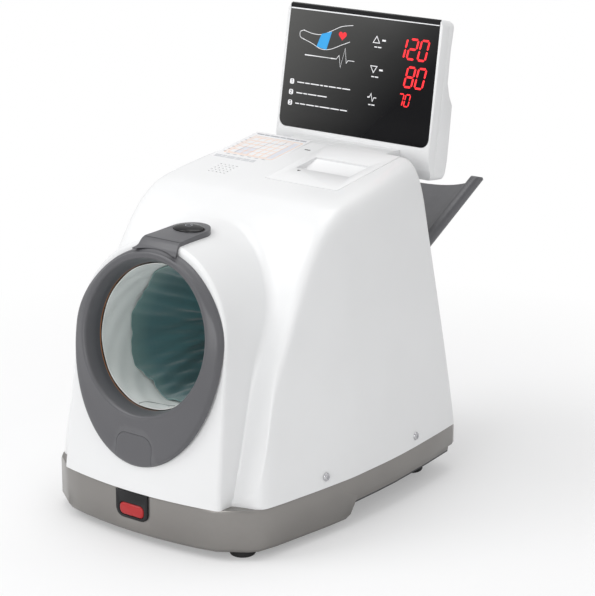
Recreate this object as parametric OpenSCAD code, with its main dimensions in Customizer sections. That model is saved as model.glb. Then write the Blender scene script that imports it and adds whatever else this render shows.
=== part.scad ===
// Arm-in blood pressure monitor. The arm goes in through the cuff ring at the front, down a tunnel
// that leans back, and the forearm comes out at the rear over a trough-shaped arm rest.
// x runs across, y from front to back and z up, with the origin on the table under the middle.
// Depths called y below are measured back from the centre of the cuff ring, heights from the table.

/* [Stance] */
// Height of the cuff ring's centre above the table
ring_height = 198; // [196:1:204]
// Distance of the cuff ring's centre in front of the origin
ring_forward = 213.15; // [209:0.05:217]
// Backward lean of the cuff ring and of the arm tunnel, in degrees
tunnel_tilt = 11.2; // [10:0.2:12.4]

/* [Base] */
// Height of the joint between the base and the cover
base_top = 50; // [48:1:52]
// Height of the skirt's lower edge at the front
skirt_low = 8; // [6:1:10]
// Height of the skirt's lower edge behind the step
skirt_high = 29; // [27:1:31]
// Distance back to the start of the skirt's step
step_y = 130; // [124:2:136]
// Wall of the base tray
base_wall = 3; // [2.5:0.1:3.5]
// Height of the underside of the tray's floor
tray_floor = 22; // [21:0.5:23]
// Thickness of the tray's floor
floor_thick = 3; // [2.5:0.1:3.5]
// Thickness of the steel bottom plate
plate_thick = 2; // [1.5:0.1:2.4]
// Diameter of a rubber foot
foot_d = 25; // [22:0.5:27]
// Distance of the front feet from the middle
foot_front_x = 102; // [98:1:103]
// Distance of the rear feet from the middle
foot_rear_x = 96; // [92:1:100]

/* [Cover] */
// Wall of the main cover
cover_wall = 3; // [2.6:0.1:3.4]
// Most that the sides draw in towards the deck
side_draw = 27; // [24:1:29]
// Radius of the arch over the arm tunnel
nose_r = 93; // [92:0.5:94]
// Slope of the deck, in degrees
deck_slope = 8.3; // [7.6:0.1:9]
// Distance back to the start of the flat deck
deck_start = 179; // [176:1:182]
// Height of the deck's front edge above the base joint
deck_rise = 265; // [263:1:267]
// Rounding of the front edge of the nose
nose_edge = 4.5; // [3.5:0.5:6]
// Rounding of the rear corners
rear_edge = 13; // [10:1:16]
// Forward lean of the rear wall, in degrees
rear_tilt = 7.9; // [7:0.1:8.6]

/* [Cuff] */
// Radius of the crest of the cuff ring
crest_r = 76; // [75:0.5:78]
// Radius of the ring's inner lip
lip_r = 70; // [68:0.5:71]
// Half-width of the ring and its bib
ring_r = 91; // [90:0.5:91.5]
// Reach of the ring above its centre
ring_top = 84.5; // [84:0.5:86]
// Reach of the bib below the ring's centre
bib_drop = 124; // [120:1:126]
// Half-width of the insert in the bib
insert_w = 22; // [19:0.5:24]
// Outer radius of the cuff drum
drum_r = 80.5; // [80:0.25:81]
// Wall of the cuff drum
drum_wall = 2.5; // [2:0.1:2.8]
// Length of the cuff drum
drum_len = 136; // [130:1:138]
// Half-height of the open sleeve at its deep end
sleeve_r = 57; // [54:1:60]

/* [Controls] */
// Width of the start button
start_w = 34; // [30:1:35]
// Depth of the start button
start_d = 24; // [21:1:26]
// Travel of the start button
start_travel = 1.5; // [1.2:0.1:1.8]
// Distance back to the start button
start_y = 68; // [66:0.5:70]
// Half-width of the bridge that carries the start button
bridge_w = 20.5; // [20:0.25:22]
// Width of the emergency button
emergency_w = 30; // [27:0.5:32]
// Travel of the emergency button
emergency_travel = 1.6; // [1.2:0.1:1.8]
// Travel of the elbow pad
elbow_travel = 3; // [2:0.2:3.4]

/* [Arm rest] */
// Slope of the arm rest, in degrees
rest_slope = 29; // [27.5:0.5:30]
// Half-width of the arm rest
rest_w = 90; // [88:0.5:91]
// Thickness of the arm rest's side walls
rest_wall = 14; // [12:0.5:15]
// Depth of the trough for the forearm
trough_deep = 20; // [18:0.5:21]
// Depth of the whole arm rest, square to its slope
rest_deep = 30; // [28:0.5:31]
// Length of the arm rest along its slope, forward of the rear wall
rest_inside = 186; // [180:1:188]
// Length of the arm rest along its slope, behind the rear wall
rest_outside = 124; // [115:1:130]
// Height of the arm rest's rim where it leaves the rear wall
rest_rim = 224; // [222:0.5:226]

/* [Display] */
// Half-width of the display housing
screen_w = 97.5; // [96:0.5:100]
// Height of the display's glass along its lean
glass_h = 129; // [126:0.5:131]
// Backward lean of the display, in degrees
screen_lean = 9.4; // [8.6:0.2:10.2]
// Distance back to the lower edge of the glass
glass_y = 322.7; // [321:0.5:325]
// Height of the lower edge of the glass
glass_z = 334; // [332:0.5:336]
// Thickness of the display housing at its top
screen_thick = 20; // [18:0.5:22]
// Wall of the display housing
screen_wall = 2.5; // [2:0.1:3]
// Height of a large digit
digit_h = 20; // [18:0.5:22]

/* [Printer] */
// Width of the printer's lid
lid_w = 89; // [87:0.5:90]
// Length of the printer's lid
lid_l = 110; // [106:1:111]
// Middle of the lid across the deck
lid_x = 41; // [40:0.5:42]
// Width of the paper roll
paper_w = 57.5; // [56:0.25:58]
// Radius of the paper roll
paper_r = 22; // [19:0.5:22.5]
// Radius of the platen roller
platen_r = 5; // [4.5:0.1:5.4]
// Widest opening of the lid, in degrees
lid_open = 80; // [60:1:84]

/* [Drive] */
// Teeth of the roller's gear
gear_teeth = 36; // [36:12:36]
// Teeth of the motor's pinion
pinion_teeth = 12; // [12:4:12]
// Size of a tooth: pitch diameter over the number of teeth
gear_module = 1; // [0.9:0.05:1]
// Radius of the belt roller
roller_r = 8; // [7:0.25:8.5]
// Radius of the roller's shaft
shaft_r = 3; // [2.5:0.1:3.4]

/* [Fits] */
// Gap round pieces that slide or lie in a pocket
slip = 0.3; // [0.25:0.05:0.4]
// Radial clearance of a shaft in its bore
running = 0.06; // [0.04:0.01:0.08]

/* [Hidden] */

$fn = 48;
eps = 0.01;
far = 400;

// Plan of the cover at the base joint: distance back, half-width
front_y = -19.5;
back_y = 337;
body_plan = [
  [front_y, 90], [3, 95], [8, 108], [12, 121.5], [19, 126.5], [40, 131], [67, 134.5], [107, 139],
  [150, 142], [185, 142], [218, 141], [277, 136], [back_y, 129]
];
// Rise of the body's front slope and deck above the base joint
deck_end_rise = deck_rise + (back_y - deck_start) * 0.1065 * tan(deck_slope) / tan(8.3);
body_rise = [
  [front_y, 0.3], [3, 0.3], [8, 8], [12, 22], [18, 47], [30, 114], [44, 146], [57, 173], [70, 198], [84, 219],
  [98, 235], [118, 250], [140, 259], [deck_start, deck_rise], [back_y, deck_end_rise]
];
// Rise of the top of the nose above the base joint
nose_rise = [[front_y, 235.5], [59, 236], [98, 238], [140, 240], [back_y, 240]];
nose_flare = 5;
nose_bow = 10.5;
bow_reach = 45;
bow_height = 150;
cover_sections = [
  front_y, -18.6, -16.5, -13, 3, 8, 12, 18, 24, 30, 37, 44, 57, 70, 84, 98, 108, 118, 129, 140, 158,
  deck_start, 230, 290, back_y - 13, back_y - 8, back_y - 3, back_y
];

// Depth along the tunnel at which the cover's front face stands
face_depth = 10;
grey = [0.47, 0.47, 0.49];
dark_grey = [0.3, 0.3, 0.32];
white = [0.95, 0.95, 0.95];

// ---------------------------------------------------------------- helpers

// Puts a piece drawn from the ring's plane, with heights from the table, at its place
module at_front() {
  translate([0, -ring_forward, 0]) children();
}

// The frame of the arm tunnel: z runs out towards the user, y up across the ring
module in_tunnel() {
  translate([0, -ring_forward, ring_height]) rotate([90 - tunnel_tilt, 0, 0]) children();
}

// The frame of the deck: x from the lid's middle, y up the slope from the deck's front edge
deck_y = deck_start + deck_rise * lean(deck_start);
deck_z = base_top + deck_rise;
module on_deck() {
  translate([0, deck_y - ring_forward, deck_z]) rotate([deck_slope, 0, 0]) children();
}

// The frame of the arm rest: y along its slope from the rear wall, z square to it, rim at 0
rest_y = 325;
module on_rest() {
  translate([0, rest_y - ring_forward, rest_rim]) rotate([rest_slope, 0, 0]) children();
}

// The frame of the display: z up along the glass, y back from its face
module on_screen() {
  translate([0, glass_y - ring_forward, glass_z]) rotate([-screen_lean, 0, 0]) children();
}

// Points along an arc of a circle
function arc(x, y, r, from, to, steps) =
  [for (i = [0:steps]) let (a = from + (to - from) * i / steps) [x + r * cos(a), y + r * sin(a)]];

// A rectangle about the origin with round corners
function round_rect(w, h, r, steps = 6) = concat(
  arc(w / 2 - r, h / 2 - r, r, 0, 90, steps), arc(-w / 2 + r, h / 2 - r, r, 90, 180, steps),
  arc(-w / 2 + r, -h / 2 + r, r, 180, 270, steps), arc(w / 2 - r, -h / 2 + r, r, 270, 360, steps));

// Triangles between rings of points: open rings get a fan at each end, a wrapped skin has none
function band(a, b, n) = [for (i = [0:n - 1]) each
  [[a + i, b + i, a + (i + 1) % n], [a + (i + 1) % n, b + i, b + (i + 1) % n]]];
function flat_list(rings) = [for (ring = rings) each ring];
function middle(ring) = [for (k = [0:2]) sum_of([for (p = ring) p[k]]) / len(ring)];
function sum_of(v, i = 0) = i < len(v) ? v[i] + sum_of(v, i + 1) : 0;

module skin(rings) {
  n = len(rings[0]);
  m = len(rings);
  first = n * m;
  sides = [for (j = [0:m - 2]) each band(j * n, (j + 1) * n, n)];
  caps = [for (i = [0:n - 1]) each
    [[first, i, (i + 1) % n], [first + 1, (m - 1) * n + (i + 1) % n, (m - 1) * n + i]]];
  polyhedron(concat(flat_list(rings), [middle(rings[0]), middle(rings[m - 1])]), concat(sides, caps));
}

module closed_skin(rings) {
  n = len(rings[0]);
  m = len(rings);
  polyhedron(flat_list(rings), [for (j = [0:m - 1]) each band(j * n, ((j + 1) % m) * n, n)]);
}

// ---------------------------------------------------------------- cover form

// Each section of the cover stands on the base joint. The first leans with the ring,
// the last leans forward with the rear wall, and those between turn evenly from one to the other.
function lean(y) =
  tan(tunnel_tilt) - (tan(tunnel_tilt) + tan(rear_tilt)) * (y - front_y) / (back_y - front_y);

// How far the side stands in from the base joint at a height
function draw_in(h) = side_draw * pow(max(0, min(h, 290)) / 270, 1.3);
function side_x(w, a) =
  let (h1 = min(w * tan(a), 290), h2 = min((w - draw_in(h1)) * tan(a), 290)) w - draw_in(h2);

// Reach of the body's section from the middle of the base joint, along a ray at angle a
function body_reach(y, a, t) =
  let (w = lookup(y, body_plan) - t, h = max(0.3, lookup(y, body_rise) - t), p = 26)
  pow(pow(cos(a) / side_x(w, a), p) + pow(sin(a) / h, p), -1 / p);

// Reach of the nose's section: upright walls under an arch
function nose_reach(y, a, t) =
  let (r = nose_r - t, mid = lookup(y, nose_rise) - nose_r, rise = r * tan(a),
       wall = r + nose_flare * max(0, 1 - rise / mid))
  rise < mid ? wall / cos(a) : mid * sin(a) + sqrt(max(0, r * r - pow(mid * cos(a), 2)));

function soft_max(a, b, k) = max(a, b) + pow(max(0, k - abs(a - b)), 2) / (4 * k);
function fold(a) = a > 90 ? 180 - a : a;
function cover_reach(y, a, t) =
  soft_max(nose_reach(y, fold(a), t), body_reach(y, fold(a), t), 9 + 17 * cos(fold(a)));

// How far a section shrinks in the rounding of an edge, a distance d from the end
function round_off(d, r) = d >= r ? 0 : r - sqrt(max(0, r * r - pow(r - d, 2)));
function end_round(y) =
  round_off(y - front_y, nose_edge) + round_off(back_y - y, rear_edge);

side_steps = 5;
shelf_steps = 5;
arch_steps = 7;
function corner_angle(y) =
  max(3, atan2(lookup(y, body_rise), side_x(lookup(y, body_plan), 40) - 6));
// Rays up to the ridge, from there to the foot of the arch, and over the arch
function half_angles(y) = let (c = corner_angle(y), m = max(56, c + 5)) concat(
  [for (i = [0:side_steps - 1]) c * i / side_steps],
  [for (i = [0:shelf_steps - 1]) c + (m - c) * i / shelf_steps],
  [for (i = [0:arch_steps]) m + (90 - m) * i / arch_steps]);
function all_angles(y) = let (h = half_angles(y), n = len(h)) concat(
  h, [for (i = [n - 2:-1:0]) 180 - h[i]]);

// One ring of points of the cover, t inside its outer face, with its foot drop below the joint
function cover_ring(y, t, drop) =
  let (pts = [for (a = all_angles(y)) let (r = cover_reach(y, a, t) - end_round(y)) [r * cos(a), r * sin(a)]],
       n = len(pts), all = concat(pts, [[pts[n - 1][0], -drop], [pts[0][0], -drop]]))
  [for (p = all) [
    p[0],
    y + p[1] * lean(y) + nose_bow * pow(p[0] / 95, 2)
      * max(0, 1 - (y - front_y) / bow_reach) * max(0, 1 - p[1] / bow_height),
    base_top + p[1]
  ]];

module cover_form(t, drop) {
  last = len(cover_sections) - 1;
  at_front() skin([for (i = [last:-1:0]) let (y = cover_sections[i])
    cover_ring(y + t * (1 - 2 * (y - front_y) / (back_y - front_y)), t, drop)]);
}

// ---------------------------------------------------------------- base

// Plan of the base, t inside the cover's foot
function base_half(t) = [
  for (x = [24:24:72]) [x, front_y + nose_bow * pow(x / 95, 2) + t],
  [93 - t * 0.4, -9 + t], [101 - t * 0.8, -2.5 + t], [109 - t * 0.9, 3.5 + t * 0.8], [120 - t, 10 + t * 0.4],
  [126.3 - t, 19], [131 - t, 40], [134.5 - t, 67], [139 - t, 107], [142 - t, 150], [142 - t, 185],
  [141 - t, 218], [136 - t, 277], [130.5 - t, 324], [127 - t, 332 - t * 0.7], [119 - t, back_y - t]
];
function base_plan(t) = let (h = base_half(t), n = len(h)) concat(
  [[0, front_y + t]], h, [for (i = [n - 1:-1:0]) [-h[i][0], h[i][1]]]);

module base_block(z0, z1, t) {
  at_front() translate([0, 0, z0]) linear_extrude(z1 - z0) polygon(base_plan(t));
}

emergency_top = base_top - 0.6;
emergency_h = 27;
module emergency_outline(grow) {
  w = 20 + grow;
  h = emergency_h + grow;
  r = 9;
  polygon(concat([[w, grow], [-w, grow]], arc(-w + r, -h + r, r, 180, 270, 6), arc(w - r, -h + r, r, 270, 360, 6)));
}
module on_base_front(depth) {
  at_front() translate([0, front_y + depth, emergency_top]) rotate([90, 0, 0]) children();
}

pan_inset = base_wall + 1.6;
module base_tray() {
  color(grey) difference() {
    hull() {
      base_block(base_top - 1, base_top, 0.5);
      base_block(skirt_low + 5, base_top - 3, 0);
      base_block(skirt_low, skirt_low + 1, 3.2);
    }
    base_block(skirt_high + floor_thick, base_top + 1, base_wall);
    base_block(tray_floor + floor_thick, skirt_high + floor_thick + 1, pan_inset + floor_thick);
    base_block(skirt_low - 1, tray_floor, pan_inset);
    // The skirt steps up behind the front feet, round the pan under it
    difference() {
      at_front() rotate([90, 0, 90]) translate([0, 0, -far / 2]) linear_extrude(far) polygon([
        [step_y, skirt_low - 6], [step_y + 18, skirt_high], [back_y + 10, skirt_high], [back_y + 10, skirt_low - 6]
      ]);
      base_block(skirt_low - 8, skirt_high + 1, pan_inset);
    }
    // Pocket of the emergency plate and its switch
    on_base_front(base_wall + 1) linear_extrude(10) emergency_outline(0.2);
    on_base_front(base_wall + 1) translate([-12.5, -emergency_h + 3.5, -8]) cube([25, 15, 10]);
    // Air slots in the floor
    for (i = [0:5]) at_front() translate([-75 + 12 * i, 120, tray_floor - 1]) cube([5, 60, 6]);
  }
  // Bosses for the cover's screws
  color(grey) for (s = [-1, 1], y = screw_ys) at_front() {
    translate([s * (side_half(y) - 14), y, tray_floor + floor_thick]) difference() {
      translate([-6, -6, -0.5]) cube([12, 12, base_top - tray_floor - floor_thick]);
      translate([0, 0, 4]) cylinder(r = 1.6, h = 40, $fn = 24);
    }
  }
}
function side_half(y) = lookup(y, body_plan);

plate_inset = base_wall + 2.2;
feet = [
  [-foot_front_x, 21, 0], [foot_front_x, 21, 0], [-foot_rear_x, 300, 0], [foot_rear_x, 300, 0]
];
module bottom_plate() {
  color([0.2, 0.2, 0.21]) difference() {
    intersection() {
      base_block(tray_floor - plate_thick, tray_floor, plate_inset);
      at_front() translate([-far / 2, 0, 0]) cube([far, back_y - 6, 60]);
    }
    for (f = feet) at_front() translate([f[0], f[1], 0]) cylinder(r = 2.3, h = 60);
    for (i = [0:5]) at_front() translate([-75 + 12 * i, 122, tray_floor - 4]) cube([5, 56, 6]);
  }
}

module foot(i) {
  top = tray_floor - plate_thick;
  color([0.08, 0.08, 0.08]) at_front() translate(feet[i]) difference() {
    rotate_extrude() polygon([
      [0, 0], [foot_d / 2 - 2.5, 0], [foot_d / 2 - 0.8, 0.7], [foot_d / 2, 2.4],
      [foot_d / 2 - 1.2, top - 3], [foot_d / 2 - 2, top], [0, top]
    ]);
    translate([0, 0, -1]) cylinder(r = 5, h = 5);
    translate([0, 0, 3]) cylinder(r = 2.2, h = top);
  }
}

// Screws that go up through the feet and the plate into the tray's floor
module bottom_screws() {
  color("silver") for (f = feet) at_front() translate([f[0], f[1], 0]) {
    translate([0, 0, 1.6]) cylinder(r = 4.4, h = 2.4, $fn = 24);
    translate([0, 0, 4]) cylinder(r = 2, h = tray_floor - 4, $fn = 24);
  }
}

// ---------------------------------------------------------------- cover

hole_r = drum_r + 2;
lid_slot_w = lid_w + 2 * slip;
lid_front = 4;
ledge = 4;

// The opening for the forearm and the arm rest in the rear wall
module exit_cut(grow) {
  at_front() rotate([90, 0, 0]) translate([0, 0, -back_y - 20]) linear_extrude(60) polygon(concat(
    [[rest_w + grow, exit_low], [rest_w + grow, exit_spring]],
    [for (a = [10:10:170]) [(rest_w + grow) * cos(a), exit_spring + (exit_top + grow - exit_spring) * sin(a)]],
    [[-rest_w - grow, exit_spring], [-rest_w - grow, exit_low]]));
}
exit_low = 212;
exit_spring = 226;
exit_top = 290;

panel_z0 = 66;
panel_z1 = 120;
panel_w = 92;

module main_cover() {
  color(white) difference() {
    cover_form(0, 0);
    cover_form(cover_wall, 2);
    in_tunnel() translate([0, 0, -45]) cylinder(r = hole_r, h = 60, $fn = 72);
    exit_cut(slip);
    rest_body(slip);
    // Well for the printer's lid
    on_deck() translate([lid_x - lid_slot_w / 2, lid_front - slip, -8]) cube([lid_slot_w, lid_l + 2 * slip, 20]);
    // Opening for the connector panel
    at_front() translate([-panel_w / 2 - slip, back_y - 32, panel_z0 - slip])
      cube([panel_w + 2 * slip, 60, panel_z1 - panel_z0 + 2 * slip]);
    // Holes for the side screws
    for (s = [-1, 1], y = screw_ys) at_front() translate([s * side_half(y), y, screw_z])
      rotate([0, 90, 0]) translate([0, 0, -12]) cylinder(r = 2.4, h = 24, $fn = 24);
    // Sound holes over the speaker
    for (i = [-2:2], k = [-2:2]) on_deck() translate([speaker_x + 5 * i, speaker_dy + 5 * k, -9])
      cylinder(r = 1, h = 20, $fn = 16);
    // Seat of the start button's switch
    bridge_frame() translate([0, 0, -14]) linear_extrude(20) ellipse(start_w / 2 + 1, start_d / 2 + 1);
  }
}

screw_ys = [102, 248];
screw_z = base_top + 11;
module side_screws() {
  color("gainsboro") for (s = [-1, 1], y = screw_ys) at_front()
    translate([s * (side_half(y) + 0.4), y, screw_z]) rotate([0, s * 90, 0]) difference() {
      union() {
        cylinder(r1 = 4.2, r2 = 3.2, h = 1.6, $fn = 32);
        translate([0, 0, -9]) cylinder(r = 2.1, h = 9.2, $fn = 24);
      }
      translate([-2.2, -0.5, 1]) cube([4.4, 1, 2]);
      translate([-0.5, -2.2, 1]) cube([1, 4.4, 2]);
    }
}

// ---------------------------------------------------------------- rear connectors

panel_tilt = rear_tilt;
panel_mid = (panel_z0 + panel_z1) / 2;
panel_y = back_y + (panel_mid - base_top) * lean(back_y);
module on_panel() {
  translate([0, panel_y - ring_forward, panel_mid]) rotate([panel_tilt, 0, 0]) rotate([90, 0, 180]) children();
}
panel_h = panel_z1 - panel_z0;
inlet_x = -26;
switch_x = 8;
port_x = [27, 38];

module rear_panel() {
  color(dark_grey) on_panel() difference() {
    translate([0, 0, -4]) linear_extrude(4) polygon(round_rect(panel_w, panel_h, 3));
    translate([0, 0, -2.5]) linear_extrude(4) polygon(round_rect(panel_w - 8, panel_h - 8, 2));
    translate([inlet_x, 0, -5]) linear_extrude(8) polygon(round_rect(27.4, 20.4, 2));
    translate([switch_x - 7, -10.5, -5]) cube([14, 21, 8]);
    for (x = port_x) translate([x - 3.6, -6.6, -5]) cube([7.2, 13.2, 8]);
  }
}

module power_inlet() {
  color([0.1, 0.1, 0.1]) on_panel() translate([inlet_x, 0, 0]) {
    difference() {
      union() {
        translate([0, 0, -24]) linear_extrude(23) polygon(round_rect(27, 20, 2));
        translate([0, 0, -2.5]) linear_extrude(1.6) polygon(round_rect(32, 25, 3));
      }
      translate([0, 0, -18]) linear_extrude(30) polygon(round_rect(22, 14.5, 3));
    }
    for (x = [-7, 0, 7]) translate([x - 1, x == 0 ? 1.5 : -3.5, -18]) cube([2, 4, 14]);
  }
}

rocker_axis = -12;
rocker_half = 7.6;
rocker_tilt = 8;
rocker_pin = 1.5;
module power_switch() {
  color([0.12, 0.12, 0.12]) on_panel() translate([switch_x, 0, rocker_axis]) rotate([rocker_tilt, 0, 0]) difference() {
    translate([-6.5, 0, 0]) rotate([90, 0, 90]) linear_extrude(13) polygon([
      [-3.4, -3.4], [3.4, -3.4], [rocker_half, 5], [rocker_half, 12.4], [0, 10.8], [-rocker_half, 12.4], [-rocker_half, 5]
    ]);
    translate([-10, 0, 0]) rotate([0, 90, 0]) cylinder(r = rocker_pin + running, h = 20, $fn = 24);
  }
}

// The rocker's frame, with its pin
module switch_frame() {
  color([0.1, 0.1, 0.1]) on_panel() translate([switch_x, 0, 0]) {
    difference() {
      translate([-6.95, -10.45, -21]) cube([13.9, 20.9, 20.2]);
      translate([-6.7, -9.6, -19]) cube([13.4, 19.2, 30]);
    }
    translate([-6.8, 0, rocker_axis]) rotate([0, 90, 0]) cylinder(r = rocker_pin, h = 13.6, $fn = 24);
  }
}

module data_ports() {
  color([0.75, 0.76, 0.78]) on_panel() {
    for (x = port_x) translate([x, 0, -2.2]) difference() {
      translate([-3.4, -6.4, -12]) cube([6.8, 12.8, 13]);
      translate([-2.6, -5.6, -8]) cube([5.2, 11.2, 10]);
    }
  }
}

// ---------------------------------------------------------------- cuff ring

function ring_edge(a) =
  sin(a) >= 0 ? ring_top + (ring_r - ring_top) * pow(abs(cos(a)), 7)
  : 1 / sqrt(pow(cos(a) / ring_r, 2) + pow(sin(a) / bib_drop, 2));
// Section of the ring: radius and depth, from the inner lip over the crest to the outer edge
function ring_profile(edge) = let (span = edge - crest_r) [
  [lip_r, 18], [lip_r + 0.8, 11], [lip_r + 2.6, 5], [crest_r - 1.8, 1.2], [crest_r + 0.6, 0],
  [crest_r + 3.4, 0.6], [crest_r + 0.5 * span, 1.2 + 0.06 * span], [edge - 4, 2.4 + 0.075 * span],
  [edge - 1, 5.4 + 0.06 * span], [edge, 9.4], [edge, 26], [hole_r + 0.4, 26], [hole_r + 0.4, 13.3],
  [crest_r + 1, 13.3], [crest_r, 18]
];
ring_steps = 48;
module ring_blank() {
  in_tunnel() closed_skin([for (i = [0:ring_steps - 1]) let (a = 360 * i / ring_steps)
    [for (p = ring_profile(ring_edge(a))) [p[0] * cos(a), p[0] * sin(a), -p[1]]]]);
}
module insert_outline(grow) {
  w = insert_w + grow;
  top = -93 + grow;
  r = 12;
  in_tunnel() translate([0, 0, -40]) linear_extrude(60) polygon(concat(
    [[w, -150]], arc(w - r, top - r, r, 0, 90, 6), arc(-w + r, top - r, r, 90, 180, 6), [[-w, -150]]));
}

// The ring lies on the cover's front, and its collar stands in the cover's hole
module seated_ring() {
  difference() {
    ring_blank();
    difference() {
      cover_form(0, 0);
      in_tunnel() translate([0, 0, -60]) cylinder(r = hole_r - slip, h = 80, $fn = 72);
    }
  }
}

module cuff_ring() {
  color(grey) difference() {
    seated_ring();
    insert_outline(slip);
  }
}

module bib_insert() {
  color(grey) intersection() {
    seated_ring();
    insert_outline(0);
  }
}

trim_r = lip_r + 0.7;
module liner_trim() {
  color([0.7, 0.45, 0.25]) in_tunnel() translate([0, 0, -18.9]) rotate_extrude($fn = 72)
    translate([trim_r, 0]) circle(r = 0.7, $fn = 16);
}

// ---------------------------------------------------------------- cuff

drum_front = 13.6;
drum_back = drum_front + drum_len;
module cuff_drum() {
  color([0.85, 0.85, 0.85]) in_tunnel() rotate_extrude($fn = 72) polygon([
    [drum_r - drum_wall, -drum_back], [drum_r, -drum_back], [drum_r, -drum_front - 3],
    [hole_r - slip, -drum_front - 3], [hole_r - slip, -drum_front], [crest_r + 1.4, -drum_front],
    [crest_r + 1.4, -drum_front - 3], [drum_r - drum_wall, -drum_front - 3]
  ]);
  // Air nipple
  color([0.85, 0.85, 0.85]) in_tunnel() translate([0, 0, -nipple_depth]) rotate([0, 0, nipple_turn])
    rotate([0, 90, 0]) translate([0, 0, drum_r - 1]) cylinder(r = 2.2, h = nipple_len + 1, $fn = 24);
}
// Distance from the nipple to the back end of the drum
nipple_inset = 11.6;
nipple_depth = drum_back - nipple_inset;
nipple_turn = -18.5;
nipple_len = 6;
// A point on the nipple's axis at a distance from the middle of the drum
function nipple_point(r) = let (v = r * sin(nipple_turn)) [
  r * cos(nipple_turn),
  v * sin(tunnel_tilt) + nipple_depth * cos(tunnel_tilt),
  ring_height + v * cos(tunnel_tilt) - nipple_depth * sin(tunnel_tilt)
];

bladder_front = 22;
bladder_back = drum_back - 4;
// An air ring between drum and sleeve: three lobes on its inner side
module cuff_bladder() {
  out_r = drum_r - drum_wall - slip;
  lobe = (bladder_back - bladder_front) / 3;
  color([0.25, 0.3, 0.32]) in_tunnel() rotate_extrude($fn = 60) polygon(concat(
    [[out_r, -bladder_back], [out_r, -bladder_front]],
    [for (k = [0:2], i = [0:5]) let (d = bladder_front + lobe * (k + (i + 0.5) / 6))
      [out_r - 3 - 2.8 * sin(180 * (i + 0.5) / 6), -d]]));
}

// The cloth sleeve: a pale band just inside the ring, then cloth that falls in folds
sleeve_rows = 13;
sleeve_cols = 40;
sleeve_wall = 1.2;
sleeve_front = 19.8;
function fold_depth(a, s) = 3.4 * s * sin(4 * a + 150 * s) + 2.2 * s * s * sin(7 * a - 40);
function sleeve_radius(a, s) =
  let (open = lip_r - 0.5 + (sleeve_r - lip_r) * pow(s, 1.6)) open + fold_depth(a, s);
function sleeve_ring(a) =
  let (inner = [for (j = [0:sleeve_rows - 1]) let (s = j / (sleeve_rows - 1))
         [sleeve_radius(a, s), sleeve_front + s * (drum_back - sleeve_front - 6)]],
       outer = [for (j = [sleeve_rows - 1:-1:0]) [inner[j][0] + sleeve_wall, inner[j][1]]])
  [for (p = concat(inner, outer)) [p[0] * cos(a), p[0] * sin(a), -p[1]]];
module cuff_liner() {
  color([0.45, 0.62, 0.6]) in_tunnel()
    closed_skin([for (i = [sleeve_cols:-1:1]) sleeve_ring(360 * i / sleeve_cols)]);
}

// ---------------------------------------------------------------- cuff drive

pitch_gear = gear_teeth * gear_module / 2;
pitch_pinion = pinion_teeth * gear_module / 2;
roller_x = 76;
roller_v = -76;
pinion_v = roller_v - pitch_gear - pitch_pinion - 0.12;
drive_front = 62;
drive_back = 126;
gear_front = 129;
gear_width = 7;

// Outline of a spur gear with straight-flanked teeth
module gear_outline(teeth, turn) {
  r = teeth * gear_module / 2;
  tip = r + 0.92 * gear_module;
  root = r - 1.18 * gear_module;
  step = 360 / teeth;
  polygon([for (i = [0:teeth - 1]) let (a = turn + i * step) each [
    [root * cos(a - step * 0.34), root * sin(a - step * 0.34)],
    [r * cos(a - step * 0.235), r * sin(a - step * 0.235)],
    [tip * cos(a - step * 0.11), tip * sin(a - step * 0.11)],
    [tip * cos(a + step * 0.11), tip * sin(a + step * 0.11)],
    [r * cos(a + step * 0.235), r * sin(a + step * 0.235)],
    [root * cos(a + step * 0.34), root * sin(a + step * 0.34)]
  ]]);
}

module belt_roller() {
  color([0.8, 0.8, 0.82]) in_tunnel() translate([roller_x, roller_v, 0]) {
    translate([0, 0, -drive_back + 1]) cylinder(r = roller_r, h = drive_back - drive_front - 2);
    translate([0, 0, -gear_front - gear_width - 5]) cylinder(r = shaft_r, h = gear_front + gear_width + 5 - drive_front + 5);
    translate([0, 0, -gear_front - gear_width]) linear_extrude(gear_width) gear_outline(gear_teeth, 90);
  }
}

module motor_pinion() {
  color([0.85, 0.7, 0.3]) in_tunnel() translate([roller_x, pinion_v, 0]) {
    translate([0, 0, -gear_front - gear_width]) linear_extrude(gear_width)
      gear_outline(pinion_teeth, 90 + 180 / pinion_teeth);
    translate([0, 0, -gear_front - gear_width - 2]) cylinder(r = 1.5, h = gear_width + 12, $fn = 24);
  }
}

motor_r = 11.5;
motor_len = 42;
module cuff_motor() {
  color([0.7, 0.7, 0.72]) in_tunnel() translate([roller_x, pinion_v, -drive_back]) difference() {
    union() {
      cylinder(r = motor_r, h = motor_len);
      translate([0, 0, motor_len]) cylinder(r = 4, h = 3);
    }
    translate([0, 0, -1]) cylinder(r = 1.5 + running, h = 10, $fn = 24);
  }
}

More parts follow.
